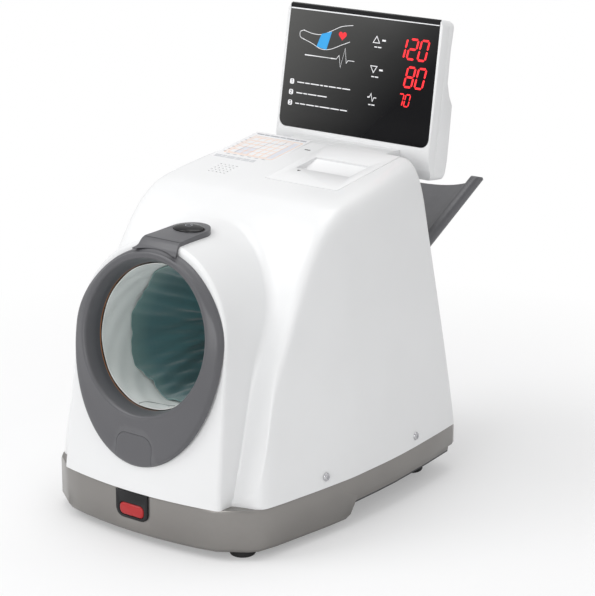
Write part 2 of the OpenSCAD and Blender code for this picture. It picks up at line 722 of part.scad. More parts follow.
// A bent steel bracket: two cheeks with the roller's bores, a web and a saddle on the drum
module roller_bracket() {
  color("silver") in_tunnel() {
    difference() {
      union() {
        bracket_cheek(-drive_back - 2.2);
        bracket_cheek(-drive_front);
        translate([roller_x + 15.5, roller_v - 12, -drive_back - 2.2]) cube([2, 26, drive_back - drive_front + 4.2]);
        translate([roller_x - 12, pinion_v - motor_r - 2, -drive_back - 2.2]) cube([28, 2, 40]);
      }
      translate([roller_x, roller_v, -drive_back - 5]) cylinder(r = shaft_r + running, h = 100);
      translate([roller_x, pinion_v, -drive_back - 5]) cylinder(r = 1.5 + running, h = 6, $fn = 24);
      translate([0, 0, -drive_back - 10]) cylinder(r = drum_r, h = 100, $fn = 72);
    }
  }
}
module bracket_cheek(z) {
  translate([0, 0, z]) linear_extrude(2.2) polygon([
    [roller_x - 22, roller_v + 23], [roller_x + 6, roller_v + 14], [roller_x + 17.5, roller_v + 14],
    [roller_x + 17.5, roller_v - 12], [roller_x + 16, pinion_v - motor_r - 2], [roller_x - 12, pinion_v - motor_r - 2],
    [roller_x - 12, roller_v - 10], [roller_x - 26, roller_v + 10]
  ]);
}

// The flat belt lies on the drum and runs off to the roller
belt_t = 1;
module cuff_belt() {
  ang = atan2(roller_v, roller_x);
  dist = sqrt(roller_x * roller_x + roller_v * roller_v);
  r1 = drum_r + slip;
  r2 = roller_r + slip;
  lift = acos((r1 - r2) / dist);
  color([0.15, 0.15, 0.16]) in_tunnel() translate([0, 0, -drive_back + 4])
    linear_extrude(drive_back - drive_front - 10) polygon(concat(
      arc(0, 0, r1, ang + lift + 120, ang + lift, 16),
      arc(roller_x, roller_v, r2, ang + lift, ang - 120, 12),
      arc(roller_x, roller_v, r2 + belt_t, ang - 120, ang + lift, 12),
      arc(0, 0, r1 + belt_t, ang + lift, ang + lift + 120, 16)));
}

// ---------------------------------------------------------------- start button

bridge_slope = 3.2;
bridge_z = base_top + 239;
module bridge_frame() {
  at_front() translate([0, start_y, bridge_z]) rotate([bridge_slope, 0, 0]) children();
}
module ellipse(a, b) {
  polygon([for (i = [0:29]) [a * cos(12 * i), b * sin(12 * i)]]);
}
module bridge_outline(t) {
  w = bridge_w - t;
  polygon(concat([[w + 2.8, -bridge_l], [w + 2.4, -32], [w + 0.6, -16]], arc(0, 0, w, 0, 180, 14),
    [[-w - 0.6, -16], [-w - 2.4, -32], [-w - 2.8, -bridge_l]]));
}
bridge_l = 42;
toe = 9;
module button_bridge() {
  color(grey) difference() {
    hull() {
      bridge_frame() translate([0, 0, -20]) linear_extrude(18.4) bridge_outline(0);
      bridge_frame() translate([0, 0, -1.5]) linear_extrude(1.5) bridge_outline(1.6);
      // Its front end runs down onto the ring
      bridge_frame() translate([-bridge_w - 3, -bridge_l - toe, -20]) cube([2 * bridge_w + 6, toe, 20 - toe]);
    }
    cover_form(0, 0);
    ring_blank();
    in_tunnel() translate([0, 0, -40]) cylinder(r = ring_top - 1, h = 80);
    bridge_frame() translate([0, 0, -30]) linear_extrude(40) ellipse(start_w / 2 + slip, start_d / 2 + slip);
  }
}

button_base = -4.2;
module start_button() {
  color([0.06, 0.06, 0.06]) bridge_frame() intersection() {
    translate([0, 0, button_base]) linear_extrude(12) ellipse(start_w / 2, start_d / 2);
    translate([0, 0, 3.4 - 62]) sphere(r = 62, $fn = 96);
  }
}

module start_switch() {
  top = button_base - start_travel - slip;
  color([0.15, 0.35, 0.2]) bridge_frame() {
    translate([0, 0, top - 4.6]) difference() {
      linear_extrude(4.4) ellipse(start_w / 2 + 0.7, start_d / 2 + 0.7);
      translate([0, 0, 1.6]) linear_extrude(4.4) ellipse(start_w / 2 - 1, start_d / 2 - 1);
    }
    translate([-3, -3, top - 3]) cube([6, 6, 2]);
    translate([0, 0, top - 1]) cylinder(r = 1.7, h = 1, $fn = 24);
  }
}

// ---------------------------------------------------------------- emergency button

module emergency_plate() {
  color([0.05, 0.05, 0.05]) on_base_front(base_wall + 1) difference() {
    linear_extrude(base_wall + 2) emergency_outline(0);
    translate([0, -emergency_h + 9.2, 1.5]) linear_extrude(10) polygon(round_rect(emergency_w + 2 * slip, 12 + 2 * slip, 5));
    translate([-8, -emergency_h + 4, -1]) cube([16, 10, 4]);
  }
}

module emergency_button() {
  color([0.75, 0.07, 0.07]) on_base_front(base_wall + 1) translate([0, -emergency_h + 9.2, 0]) hull() {
    translate([0, 0, 1.5 + emergency_travel + 0.2]) linear_extrude(1.6) polygon(round_rect(emergency_w, 12, 4.9, 4));
    translate([0, 0, base_wall + 2.6]) linear_extrude(0.6) polygon(round_rect(emergency_w - 3, 9, 4, 4));
  }
}

module emergency_switch() {
  color([0.15, 0.35, 0.2]) on_base_front(base_wall + 1) {
    translate([-12, -emergency_h + 4, -1.8]) cube([24, 14, 1.6]);
    translate([-3.5, -emergency_h + 5.7, -0.2]) cube([7, 7, 1.7]);
  }
}

// ---------------------------------------------------------------- arm rest

pad_l = 46;
pad_w = 60;
pad_y = -146;
pad_top = -trough_deep + 3.6;
pad_t = 5.5;
pad_curve = 260;
// Section of the trough across the arm
function trough_line(w, d) = [for (i = [0:16]) let (a = 180 + 180 * i / 16)
  [w * cos(a), d * sign(sin(a)) * pow(abs(sin(a)), 0.8)]];
// The arm rest before its trough is cut, grow larger all round
module rest_body(grow) {
  w = rest_w + grow;
  corner = rest_deep - 22;
  on_rest() intersection() {
    translate([0, -rest_inside, 0]) rotate([-90, 0, 0]) linear_extrude(rest_inside + rest_outside) polygon(concat(
      [[w - 3, 0], [w - 0.8, 0.8], [w, 3]],
      [for (i = [0:12]) let (a = 90 * i / 12) [w - 34 + 34 * cos(a), corner + (22 + grow) * sin(a)]],
      [for (i = [12:-1:0]) let (a = 90 * i / 12) [-w + 34 - 34 * cos(a), corner + (22 + grow) * sin(a)]],
      [[-w, 3], [-w + 0.8, 0.8], [-w + 3, 0]]));
    translate([0, 0, -60]) linear_extrude(80) polygon(concat(
      [[w + 1, -rest_inside]], arc(rest_w - 29, rest_outside - 30, 30, 0, 90, 10),
      arc(-rest_w + 29, rest_outside - 30, 30, 90, 180, 10), [[-w - 1, -rest_inside]]));
  }
}
module arm_rest() {
  in_w = rest_w - rest_wall;
  color(grey) difference() {
    rest_body(0);
    on_rest() translate([0, -rest_inside - 5, 0]) rotate([-90, 0, 0])
      linear_extrude(rest_inside + rest_outside + 10) mirror([0, 1]) polygon(concat(
        [[in_w + 2, 5], [in_w + 2, 0.5]], [for (p = trough_line(in_w, trough_deep)) [-p[0], p[1]]],
        [[-in_w - 2, 0.5], [-in_w - 2, 5]]));
    // Pocket of the elbow pad
    on_rest() translate([0, pad_y, -rest_deep + 3]) linear_extrude(40)
      polygon(round_rect(pad_w + 2 * slip, pad_l + 2 * slip, 8));
  }
}

// Its top is hollowed across the arm
pad_turn = 7;
module elbow_pad() {
  color([0.3, 0.3, 0.33]) on_rest() translate([0, pad_y, 0]) intersection() {
    translate([0, 0, pad_top - pad_t]) linear_extrude(20) polygon(round_rect(pad_w, pad_l, 7.7));
    rotate([90, 0, 0]) translate([0, 0, -pad_l]) linear_extrude(2 * pad_l) polygon(concat(
      [[-pad_w, pad_top - pad_t - 1]],
      arc(0, pad_top + pad_curve, pad_curve, 270 - pad_turn, 270 + pad_turn, 14),
      [[pad_w, pad_top - pad_t - 1]]));
  }
}

module elbow_switch() {
  top = pad_top - pad_t - elbow_travel - slip;
  floor_z = -rest_deep + 3;
  color([0.15, 0.35, 0.2]) on_rest() translate([0, pad_y, 0]) {
    translate([-14, -12, floor_z]) cube([28, 24, 1.6]);
    for (s = [-1, 1]) translate([s * 8 - 3, -3, floor_z + 1.6]) cube([6, 6, max(0.2, top - floor_z - 1.6)]);
  }
}

// A half-round hood from the end of the drum to the opening in the rear wall
shroud_front = 170;
shroud_back = 314;
module hood(y, t, extra) {
  rim = rest_rim + (y - rest_y) * tan(rest_slope) + 0.4;
  top = shroud_top0 + (shroud_top1 - shroud_top0) * (y - shroud_front) / (shroud_back - shroud_front) - t;
  at_front() translate([0, y, 0]) rotate([90, 0, 0]) linear_extrude(0.5) polygon(concat(
    [[rest_w - 1 - t, rim - extra]],
    [for (a = [0:10:180]) [(rest_w - 1 - t) * cos(a), rim + 6 + (top - rim - 6) * sin(a)]],
    [[-(rest_w - 1) + t, rim - extra]]));
}
shroud_top0 = 254;
shroud_top1 = 284;
module exit_shroud() {
  color([0.2, 0.2, 0.22]) difference() {
    hull() {
      hood(shroud_front, 0, 0);
      hood(shroud_back, 0, 0);
    }
    hull() {
      hood(shroud_front - 2, 2, 2);
      hood(shroud_back + 2, 2, 2);
    }
  }
}

// ---------------------------------------------------------------- air supply and electronics

floor_z = tray_floor + floor_thick;
pump_x = 62;
pump_y = 222;
pump_r = 19;
module air_pump() {
  color([0.6, 0.62, 0.66]) at_front() translate([pump_x, pump_y, floor_z + pump_r + 3]) rotate([-90, 0, 0]) {
    cylinder(r = pump_r, h = 42);
    translate([0, 0, 42]) cylinder(r = pump_r + 2, h = 16);
    translate([0, 0, -3]) cylinder(r = 6, h = 3);
  }
  color([0.3, 0.3, 0.3]) at_front() for (y = [6, 32]) translate([pump_x - 15, pump_y + y, floor_z]) difference() {
    cube([30, 6, 16]);
    translate([15, -1, pump_r + 3]) rotate([-90, 0, 0]) cylinder(r = pump_r, h = 8);
  }
  // Outlet nipple
  color([0.6, 0.62, 0.66]) at_front() translate([pump_x, pump_y + 50, floor_z + 2 * pump_r + 4]) cylinder(r = 2.4, h = 8, $fn = 24);
}

module exhaust_valve() {
  color([0.5, 0.45, 0.3]) at_front() translate([pump_x - 42, pump_y + 10, floor_z]) {
    translate([-9, 0, 0]) cube([18, 24, 18]);
    translate([0, 12, 18]) cylinder(r = 2.4, h = 6, $fn = 24);
  }
}

// Air hose from the pump up to the drum: one smooth tube
hose_path = [
  [62, 272, 75.2], [62, 272, 82], [66, 262, 94], [80, 240, 100], [95, 210, 100], [102, 180, 104],
  [106, 158, 116], [104, 138, 132], nipple_point(drum_r + nipple_len + 9), nipple_point(drum_r + nipple_len + slip)
];
function along(path, s) = let (n = len(path) - 1, i = min(n - 1, floor(s * n)), f = s * n - i,
  p0 = path[max(0, i - 1)], p1 = path[i], p2 = path[i + 1], p3 = path[min(n, i + 2)])
  0.5 * (2 * p1 + (p2 - p0) * f + (2 * p0 - 5 * p1 + 4 * p2 - p3) * f * f + (3 * p1 - p0 - 3 * p2 + p3) * f * f * f);
function unit(v) = v / norm(v);
module tube(path, r, rings, sides) {
  skin([for (j = [0:rings]) let (s = j / rings, p = along(path, s),
      d = unit(along(path, min(1, s + 0.01)) - along(path, max(0, s - 0.01))),
      u = unit(cross(d, [0.3, 1, 0.2])), v = cross(d, u))
    [for (i = [0:sides - 1]) let (a = 360 * i / sides) p + r * cos(a) * u + r * sin(a) * v]]);
}
module air_hose() {
  color([0.2, 0.2, 0.2]) at_front() tube(hose_path, 3, 30, 10);
}

module pressure_board() {
  color([0.1, 0.4, 0.25]) at_front() {
    translate([pump_x - 44, pump_y - 36, floor_z + 6]) cube([70, 28, 1.6]);
    for (x = [4, 60]) translate([pump_x - 44 + x, pump_y - 26, floor_z]) cylinder(r = 3, h = 6, $fn = 24);
    translate([pump_x - 34, pump_y - 30, floor_z + 7.6]) cube([14, 14, 8]);
  }
}

module power_supply() {
  color([0.78, 0.78, 0.76]) at_front() translate([-112, 200, floor_z]) difference() {
    cube([86, 104, 36]);
    translate([2, 2, 2]) cube([82, 100, 40]);
  }
  color([0.2, 0.2, 0.2]) at_front() translate([-112, 200, floor_z]) {
    translate([12, 14, 2]) cube([24, 30, 28]);
    translate([46, 20, 2]) cylinder(r = 8, h = 26, $fn = 32);
    translate([60, 60, 2]) cube([14, 30, 24]);
  }
}

board_x = -92;
board_dy = 24;
board_drop = -20;
module main_board() {
  color([0.1, 0.4, 0.25]) on_deck() {
    translate([board_x, board_dy, board_drop]) cube([78, 78, 1.6]);
    for (x = [12, 72], y = [5, 73]) translate([board_x + x, board_dy + y, board_drop + 1.6])
      cylinder(r = 3, h = -board_drop - 1.6 - cover_wall - 0.5, $fn = 24);
    translate([board_x + 30, board_dy + 30, board_drop - 3]) cube([22, 22, 3]);
    translate([board_x + 20, board_dy + 2, board_drop - 8]) cube([40, 8, 8]);
  }
}

speaker_x = -60;
speaker_dy = 8;
module speaker() {
  color([0.1, 0.1, 0.1]) on_deck() translate([speaker_x, speaker_dy, -cover_wall - 0.3]) difference() {
    union() {
      translate([0, 0, -4]) cylinder(r = 15, h = 4);
      translate([0, 0, -14]) cylinder(r = 10, h = 10);
    }
    translate([0, 0, -3]) cylinder(r = 12, h = 5);
  }
}

// ---------------------------------------------------------------- printer

bucket_w = lid_w - 8;
roll_y = 66;
roll_z = -27.6;
platen_y = 29;
platen_z = -9.8;
lid_t = 3.7;
lid_top = 0.4;
// The lid's rear edge is rolled about the hinge
roll_edge = 6.8;
hinge_y = lid_front + lid_l - roll_edge;
hinge_z = lid_top - roll_edge;
pin_r = 1.5;
ear_r = 3.4;
ear_x = 34.5;
bucket_back = 100;
bucket_wall = 2;
bay_r = paper_r + slip + bucket_wall;
scoop_w = 66;
scoop_y = 40;
scoop_l = 33;

function bucket_line(t) = concat(
  [[8 + t, -20], [24 + t, -34]],
  [for (a = [200:14:340]) [roll_y + (bay_r - t) * cos(a), roll_z + (bay_r - t) * sin(a)]],
  [[bucket_back - t, -22]]);
module bucket_prism(w, t, up) {
  on_deck() translate([lid_x - w / 2, 0, 0]) rotate([90, 0, 90]) linear_extrude(w)
    polygon(concat(bucket_line(t), [[bucket_back - t, up], [8 + t, up]]));
}
module printer_bucket() {
  color(dark_grey) {
    difference() {
      union() {
        bucket_prism(bucket_w, 0, -ledge);
        // Flange under the deck, on which the lid's edges rest
        on_deck() translate([lid_x - lid_w / 2 - 2.2, lid_front - 3, -5.4]) cube([lid_w + 4.4, 83, 1.75]);
      }
      bucket_prism(bucket_w - 2 * bucket_wall, bucket_wall, 5);
    }
    // Ears for the hinge pin behind the bucket
    for (s = [-1, 1]) on_deck() translate([lid_x + s * ear_x - 2, 0, 0]) difference() {
      union() {
        translate([0, bucket_back - 1, hinge_z - ear_r]) cube([4, hinge_y - bucket_back + 1, 2 * ear_r - 0.6]);
        translate([0, hinge_y, hinge_z]) rotate([0, 90, 0]) cylinder(r = ear_r, h = 4);
      }
      translate([-5, hinge_y, hinge_z]) rotate([0, 90, 0]) cylinder(r = pin_r + 0.03, h = 20, $fn = 24);
    }
  }
}

module hinge_pin() {
  color("silver") on_deck() translate([lid_x - bucket_w / 2 + 2, hinge_y, hinge_z]) rotate([0, 90, 0])
    cylinder(r = pin_r, h = bucket_w - 4, $fn = 24);
}

module print_head() {
  color([0.5, 0.5, 0.52]) on_deck() translate([lid_x - 31, 0, 0]) {
    translate([0, 15, -21.8]) cube([62, 2, 14]);
    translate([0, 17, -11.8]) cube([62, platen_y - platen_r - slip - 17, 4]);
    translate([0, 10.05, -19.8]) cube([62, 5, 2]);
  }
}

module printer_lid() {
  color(white) on_deck() difference() {
    union() {
      intersection() {
        translate([lid_x, lid_front + lid_l / 2, lid_top - lid_t]) linear_extrude(lid_t)
          polygon(round_rect(lid_w, lid_l, 3));
        translate([lid_x - far / 2, -1, -9]) cube([far, hinge_y + 1, 20]);
      }
      // Rolled rear edge
      intersection() {
        translate([lid_x - lid_w / 2, hinge_y, hinge_z]) rotate([0, 90, 0]) cylinder(r = roll_edge, h = lid_w);
        translate([lid_x - far / 2, hinge_y - 0.5, hinge_z]) cube([far, 20, 20]);
      }
      // Body of the scoop under the lid
      translate([lid_x - scoop_w / 2 - 2, scoop_y - 2, 0]) rotate([90, 0, 90]) linear_extrude(scoop_w + 4)
        polygon([[0, -1], [0, -8], [3, -9], [scoop_l + 2, -3.4], [scoop_l + 2, -1]]);
      // Arms of the platen
      for (s = [-1, 1]) translate([lid_x + s * 34 - 1.5, platen_y - 6, platen_z - 3]) cube([3, 12, 1 - platen_z]);
      // Hinge knuckle
      translate([lid_x - bucket_w / 2 + 12, hinge_y, hinge_z]) rotate([0, 90, 0]) cylinder(r = 3.4, h = bucket_w - 24);
      translate([lid_x - bucket_w / 2 + 12, hinge_y - 3.4, hinge_z]) cube([bucket_w - 24, 6.8, 4]);
    }
    // The scoop's floor climbs to the rear
    translate([lid_x - scoop_w / 2, scoop_y, 0]) rotate([90, 0, 90]) linear_extrude(scoop_w)
      polygon([[0, 2], [0, -6.8], [3, -7], [scoop_l, -1.4], [scoop_l, 2]]);
    // Paper slot at its front
    translate([lid_x - 29.5, scoop_y - 0.01, -12]) cube([59, 1.4, 8]);
    // Room for the bucket's ears
    for (s = [-1, 1]) translate([lid_x + s * ear_x - 2.5, hinge_y, hinge_z]) rotate([0, 90, 0])
      cylinder(r = ear_r + 0.3, h = 5);
    translate([lid_x - 40, platen_y, platen_z]) rotate([0, 90, 0]) cylinder(r = 1.5 + running, h = 80, $fn = 24);
    translate([lid_x - 50, hinge_y, hinge_z]) rotate([0, 90, 0]) cylinder(r = pin_r + running, h = 100, $fn = 24);
  }
}

module platen_roller() {
  color([0.1, 0.1, 0.1]) on_deck() translate([lid_x, platen_y, platen_z]) rotate([0, 90, 0]) {
    translate([0, 0, -29]) cylinder(r = platen_r, h = 58, $fn = 36);
    translate([0, 0, -35.5]) cylinder(r = 1.5, h = 71, $fn = 24);
  }
}

module paper_roll() {
  color([0.97, 0.97, 0.95]) on_deck() translate([lid_x - paper_w / 2, roll_y, roll_z]) rotate([0, 90, 0]) difference() {
    cylinder(r = paper_r, h = paper_w, $fn = 60);
    translate([0, 0, -1]) cylinder(r = 6.2, h = paper_w + 2, $fn = 36);
  }
}

module chart_label() {
  color([0.93, 0.93, 0.96]) on_deck() translate([-62, 72, 0.05]) linear_extrude(0.3) polygon(round_rect(72, 78, 2, 3));
}

// ---------------------------------------------------------------- display

// Side profile of the housing: distance back from the face, height along the face
function screen_profile(t) = [
  [t, glass_h - 3], [1.2 + t, glass_h - t], [screen_thick - 3 - t, glass_h - t - 1.2],
  [screen_thick - t, glass_h - 4 - t], [screen_thick - 1.5 - t, 98], [screen_thick - 0.5 - t, 66],
  [screen_thick + 5 - t, 53], [screen_thick + 11.5 - t, 44], [screen_thick + 12.5 - t, 20],
  [screen_thick + 13.5 - t, -8], [screen_thick + 13 - t, -18], [screen_thick + 11.5 - t, -31 + t],
  [16, -33 + t], [11, -32 + t], [4 + t, -22], [t, -9]
];
module screen_solid(t) {
  on_screen() intersection() {
    rotate([90, 0, 90]) translate([0, 0, -screen_w + t]) linear_extrude(2 * (screen_w - t)) polygon(screen_profile(t));
    translate([0, 80, 48]) rotate([90, 0, 0]) linear_extrude(160)
      polygon(round_rect(2 * (screen_w - t), 162 - 2 * t, 9));
  }
}
split_y = 12;
lens_t = 2;
module glass_outline(t) {
  w = screen_w - 2.5 - t;
  polygon(concat(arc(w - 9, 9 + t, 9, 270, 360, 6), [[w - 1.2, glass_h + 5]], [[-w + 1.2, glass_h + 5]],
    arc(-w + 9, 9 + t, 9, 180, 270, 6)));
}

module display_housing() {
  color(white) difference() {
    screen_solid(0);
    screen_solid(screen_wall);
    on_screen() translate([-far / 2, split_y, -far / 2]) cube([far, far, far]);
    on_screen() translate([0, lens_t, 0]) rotate([90, 0, 0]) linear_extrude(10) glass_outline(-slip / 2);
    on_screen() translate([-85, -1, 12]) cube([170, 6, 104]);
  }
}

module display_lens() {
  color([0.03, 0.03, 0.03]) on_screen() intersection() {
    translate([0, lens_t, 0]) rotate([90, 0, 0]) linear_extrude(lens_t) glass_outline(slip / 2);
    rotate([90, 0, 90]) translate([0, 0, -far / 2]) linear_extrude(far)
      polygon([[-5, -10], [lens_t, -10], [lens_t, glass_h - 0.4], [1.2, glass_h - 0.4], [0, glass_h - 3], [-5, glass_h - 3]]);
  }
}

module display_back() {
  color(white) difference() {
    screen_solid(0);
    screen_solid(screen_wall);
    on_screen() translate([-far / 2, split_y - far, -far / 2]) cube([far, far, far]);
    // Air slots
    for (i = [-5:5]) on_screen() translate([i * 9 - 2, 10, 78]) cube([4, 40, 22]);
    for (x = [-80, 80], z = back_screw_zs) on_screen() translate([x, 0, z]) rotate([-90, 0, 0]) cylinder(r = 1.8, h = 60, $fn = 24);
  }
}

// Heights of the screws in the display's back
back_screw_zs = [14, glass_h - 21];
module display_screws() {
  color("silver") for (x = [-80, 80], z = back_screw_zs) {
    d = screen_thick + (z < 50 ? 12.85 : -0.75);
    on_screen() translate([x, d, z]) rotate([-90, 0, 0]) difference() {
      cylinder(r1 = 3.4, r2 = 2.6, h = 1.4, $fn = 24);
      translate([-2, -0.4, 0.8]) cube([4, 0.8, 2]);
      translate([-0.4, -2, 0.8]) cube([0.8, 4, 2]);
    }
    on_screen() translate([x, 6.8, z]) rotate([-90, 0, 0]) cylinder(r = 1.5, h = d - 6.6, $fn = 24);
  }
}

module display_board() {
  color([0.1, 0.4, 0.25]) on_screen() {
    translate([-86, 5.2, 8]) cube([172, 1.6, 106]);
    translate([-60, 6.8, 40]) cube([30, 4, 20]);
    translate([0, 6.8, 50]) cube([12, 3, 12]);
  }
}

// Seven-bar number modules behind the lens, right-aligned in three rows
rows = [[3, 94, digit_h], [2, 58, digit_h], [2, 28, digit_h * 0.62]];
module digit_modules() {
  color([0.15, 0.02, 0.02]) on_screen() for (row = rows) let (h = row[2], w = h * 0.62, n = row[0])
    for (i = [0:n - 1]) translate([84 - (i + 1) * w, lens_t + slip, row[1] - 4]) cube([w - 0.4, 2.9, h + 4]);
}

// A cast foot that carries the display on the cover's rear wall
module display_bracket() {
  color(white) difference() {
    at_front() translate([-62, 296, base_top + 254]) cube([124, 40, 25]);
    cover_form(0, 0);
    screen_solid(0);
    exit_cut(6);
    at_front() translate([-58, 280, base_top + 256]) cube([116, 60, 19]);
  }
}

// ---------------------------------------------------------------- the pieces

base_tray();
bottom_plate();
foot(0);  // foot_front_left
foot(1);  // foot_front_right
foot(2);  // foot_rear_left
foot(3);  // foot_rear_right
bottom_screws();
main_cover();
side_screws();
rear_panel();
power_inlet();
power_switch();
switch_frame();
data_ports();
cuff_ring();
bib_insert();
liner_trim();
cuff_drum();
cuff_bladder();
cuff_liner();
cuff_belt();
belt_roller();
roller_bracket();
motor_pinion();
cuff_motor();
button_bridge();
start_button();
start_switch();
emergency_plate();
emergency_button();
emergency_switch();
arm_rest();
elbow_pad();
elbow_switch();
exit_shroud();
air_pump();
exhaust_valve();
air_hose();
pressure_board();
main_board();
power_supply();
speaker();
printer_bucket();
print_head();
printer_lid();
hinge_pin();
platen_roller();
paper_roll();
chart_label();
display_housing();
display_back();
display_lens();
display_board();
digit_modules();
display_bracket();
display_screws();
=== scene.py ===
"""Looks of an arm-in blood pressure monitor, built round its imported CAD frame.

All shapes are worked out in millimetres in the frames that the CAD source uses, and placed in metres.
"""

import logging
import math
from dataclasses import dataclass, field
from enum import Enum
from typing import Callable, Iterable, Sequence

import bpy
from mathutils import Matrix, Vector


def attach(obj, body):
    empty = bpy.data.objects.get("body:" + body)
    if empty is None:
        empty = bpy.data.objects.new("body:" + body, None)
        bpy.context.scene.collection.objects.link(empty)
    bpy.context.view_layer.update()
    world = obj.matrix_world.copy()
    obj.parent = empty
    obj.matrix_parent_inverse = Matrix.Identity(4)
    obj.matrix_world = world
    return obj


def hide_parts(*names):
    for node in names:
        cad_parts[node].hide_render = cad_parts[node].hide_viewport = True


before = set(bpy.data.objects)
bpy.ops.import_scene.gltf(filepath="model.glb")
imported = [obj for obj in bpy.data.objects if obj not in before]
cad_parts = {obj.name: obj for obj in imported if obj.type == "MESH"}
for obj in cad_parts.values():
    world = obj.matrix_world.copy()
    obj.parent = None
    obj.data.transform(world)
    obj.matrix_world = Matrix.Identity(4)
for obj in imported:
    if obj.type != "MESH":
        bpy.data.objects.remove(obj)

LOG = logging.getLogger("monitor")
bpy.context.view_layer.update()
MM = 0.001
Pair = tuple[float, float]
Triple = tuple[float, float, float]
Piece = bpy.types.Object
Tree = bpy.types.NodeTree
Socket = bpy.types.NodeSocket


def turn(degrees: float, axis: str = "X") -> Matrix:
    """Returns a turn about an axis, from degrees."""
    return Matrix.Rotation(math.radians(degrees), 4, axis)


def shift(x: float, y: float, z: float) -> Matrix:
    """Returns a move."""
    return Matrix.Translation((x, y, z))


def blend_tables(table: Sequence[Pair], x: float) -> float:
    """Reads a table of x and value with a smooth curve that never overshoots.

    Args:
        table: pairs in order of x.
        x: where to read.

    Returns:
        The value there.
    """
    if x <= table[0][0]:
        return table[0][1]
    if x >= table[-1][0]:
        return table[-1][1]
    i = next(k for k in range(len(table) - 1) if table[k + 1][0] >= x)

    def slope(k: int) -> float:
        if k <= 0 or k >= len(table) - 1:
            return 0.0
        a = (table[k][1] - table[k - 1][1]) / (table[k][0] - table[k - 1][0])
        b = (table[k + 1][1] - table[k][1]) / (table[k + 1][0] - table[k][0])
        return 0.0 if a * b <= 0 else 2 * a * b / (a + b)

    (x0, y0), (x1, y1) = table[i], table[i + 1]
    h = x1 - x0
    t = (x - x0) / h
    m0 = slope(i) if i > 0 else (y1 - y0) / h
    m1 = slope(i + 1) if i + 1 < len(table) - 1 else (y1 - y0) / h
    return (
        (2 * t**3 - 3 * t * t + 1) * y0 + (t**3 - 2 * t * t + t) * h * m0
        + (3 * t * t - 2 * t**3) * y1 + (t**3 - t * t) * h * m1
    )


def curve_through(points: Sequence[Sequence[float]], steps: int, closed: bool = False) -> list[tuple[float, ...]]:
    """Runs a smooth curve through points.

    Args:
        points: the points, all of one dimension.
        steps: pieces between two points.
        closed: whether the curve comes back to its start.

    Returns:
        The points of the curve.
    """
    n = len(points)
    out = []
    for i in range(n if closed else n - 1):
        if closed:
            p = [points[(i + k) % n] for k in (-1, 0, 1, 2)]
        else:
            p = [points[max(0, i - 1)], points[i], points[i + 1], points[min(n - 1, i + 2)]]
        for s in range(steps):
            t = s / steps
            out.append(tuple(
                0.5 * (2 * b + (c - a) * t + (2 * a - 5 * b + 4 * c - d) * t * t + (3 * b - a - 3 * c + d) * t**3)
                for a, b, c, d in zip(*p)
            ))
    if not closed:
        out.append(tuple(points[-1]))
    return out


def arc(x: float, y: float, r: float, start: float, end: float, steps: int) -> list[Pair]:
    """Returns points along an arc of a circle, angles in degrees."""
    angles = [math.radians(start + (end - start) * i / steps) for i in range(steps + 1)]
    return [(x + r * math.cos(a), y + r * math.sin(a)) for a in angles]


def ring_angle(share: float, steps: int) -> float:
    """Returns the angle in radians at a share of a full turn of steps, the same at both its ends."""
    return 2 * math.pi * (round(share * steps) % steps) / steps


def round_rect(w: float, h: float, r: float, steps: int = 8) -> list[Pair]:
    """Returns the outline of a rectangle about the origin with round corners."""
    x, y = w / 2 - r, h / 2 - r
    return (arc(x, y, r, 0, 90, steps) + arc(-x, y, r, 90, 180, steps)
            + arc(-x, -y, r, 180, 270, steps) + arc(x, -y, r, 270, 360, steps))


@dataclass(frozen=True)
class Frames:
    """The places of the sub-assemblies, in millimetres, as in the CAD source."""

    ring_height: float = 198.0
    ring_forward: float = 213.15
    tunnel_tilt: float = 11.2
    base_top: float = 50.0
    front_y: float = -19.5
    back_y: float = 337.0
    rear_tilt: float = 7.9
    deck_slope: float = 8.3
    deck_start: float = 179.0
    deck_rise: float = 265.0

    def lean(self, y: float) -> float:
        """Returns how far back a section of the cover leans for each millimetre up."""
        front, rear = math.tan(math.radians(self.tunnel_tilt)), math.tan(math.radians(self.rear_tilt))
        return front - (front + rear) * (y - self.front_y) / (self.back_y - self.front_y)

    @property
    def front(self) -> Matrix:
        """The ring's plane, with heights from the table."""
        return shift(0, -self.ring_forward, 0)

    @property
    def tunnel(self) -> Matrix:
        """The arm tunnel: z out to the user, y up."""
        return shift(0, -self.ring_forward, self.ring_height) @ turn(90 - self.tunnel_tilt)

    @property
    def deck(self) -> Matrix:
        """The deck: y up its slope from its front edge."""
        y = self.deck_start + self.deck_rise * self.lean(self.deck_start)
        return shift(0, y - self.ring_forward, self.base_top + self.deck_rise) @ turn(self.deck_slope)

    @property
    def screen(self) -> Matrix:
        """The display: z up its glass, y back from its face."""
        return shift(0, 322.7 - self.ring_forward, 334.0) @ turn(-9.4)

    @property
    def rest(self) -> Matrix:
        """The arm rest: y along its slope from the rear wall."""
        return shift(0, 325.0 - self.ring_forward, 224.0) @ turn(29.0)

    @property
    def panel(self) -> Matrix:
        """The rear connector panel: z outwards."""
        y = self.back_y + 43 * self.lean(self.back_y)
        return shift(0, y - self.ring_forward, 93.0) @ turn(self.rear_tilt) @ turn(180, "Z") @ turn(90)

    @property
    def bridge(self) -> Matrix:
        """The bridge of the start button: z square to its top."""
        return shift(0, 68.0 - self.ring_forward, self.base_top + 239) @ turn(3.2)


PLACES = Frames()


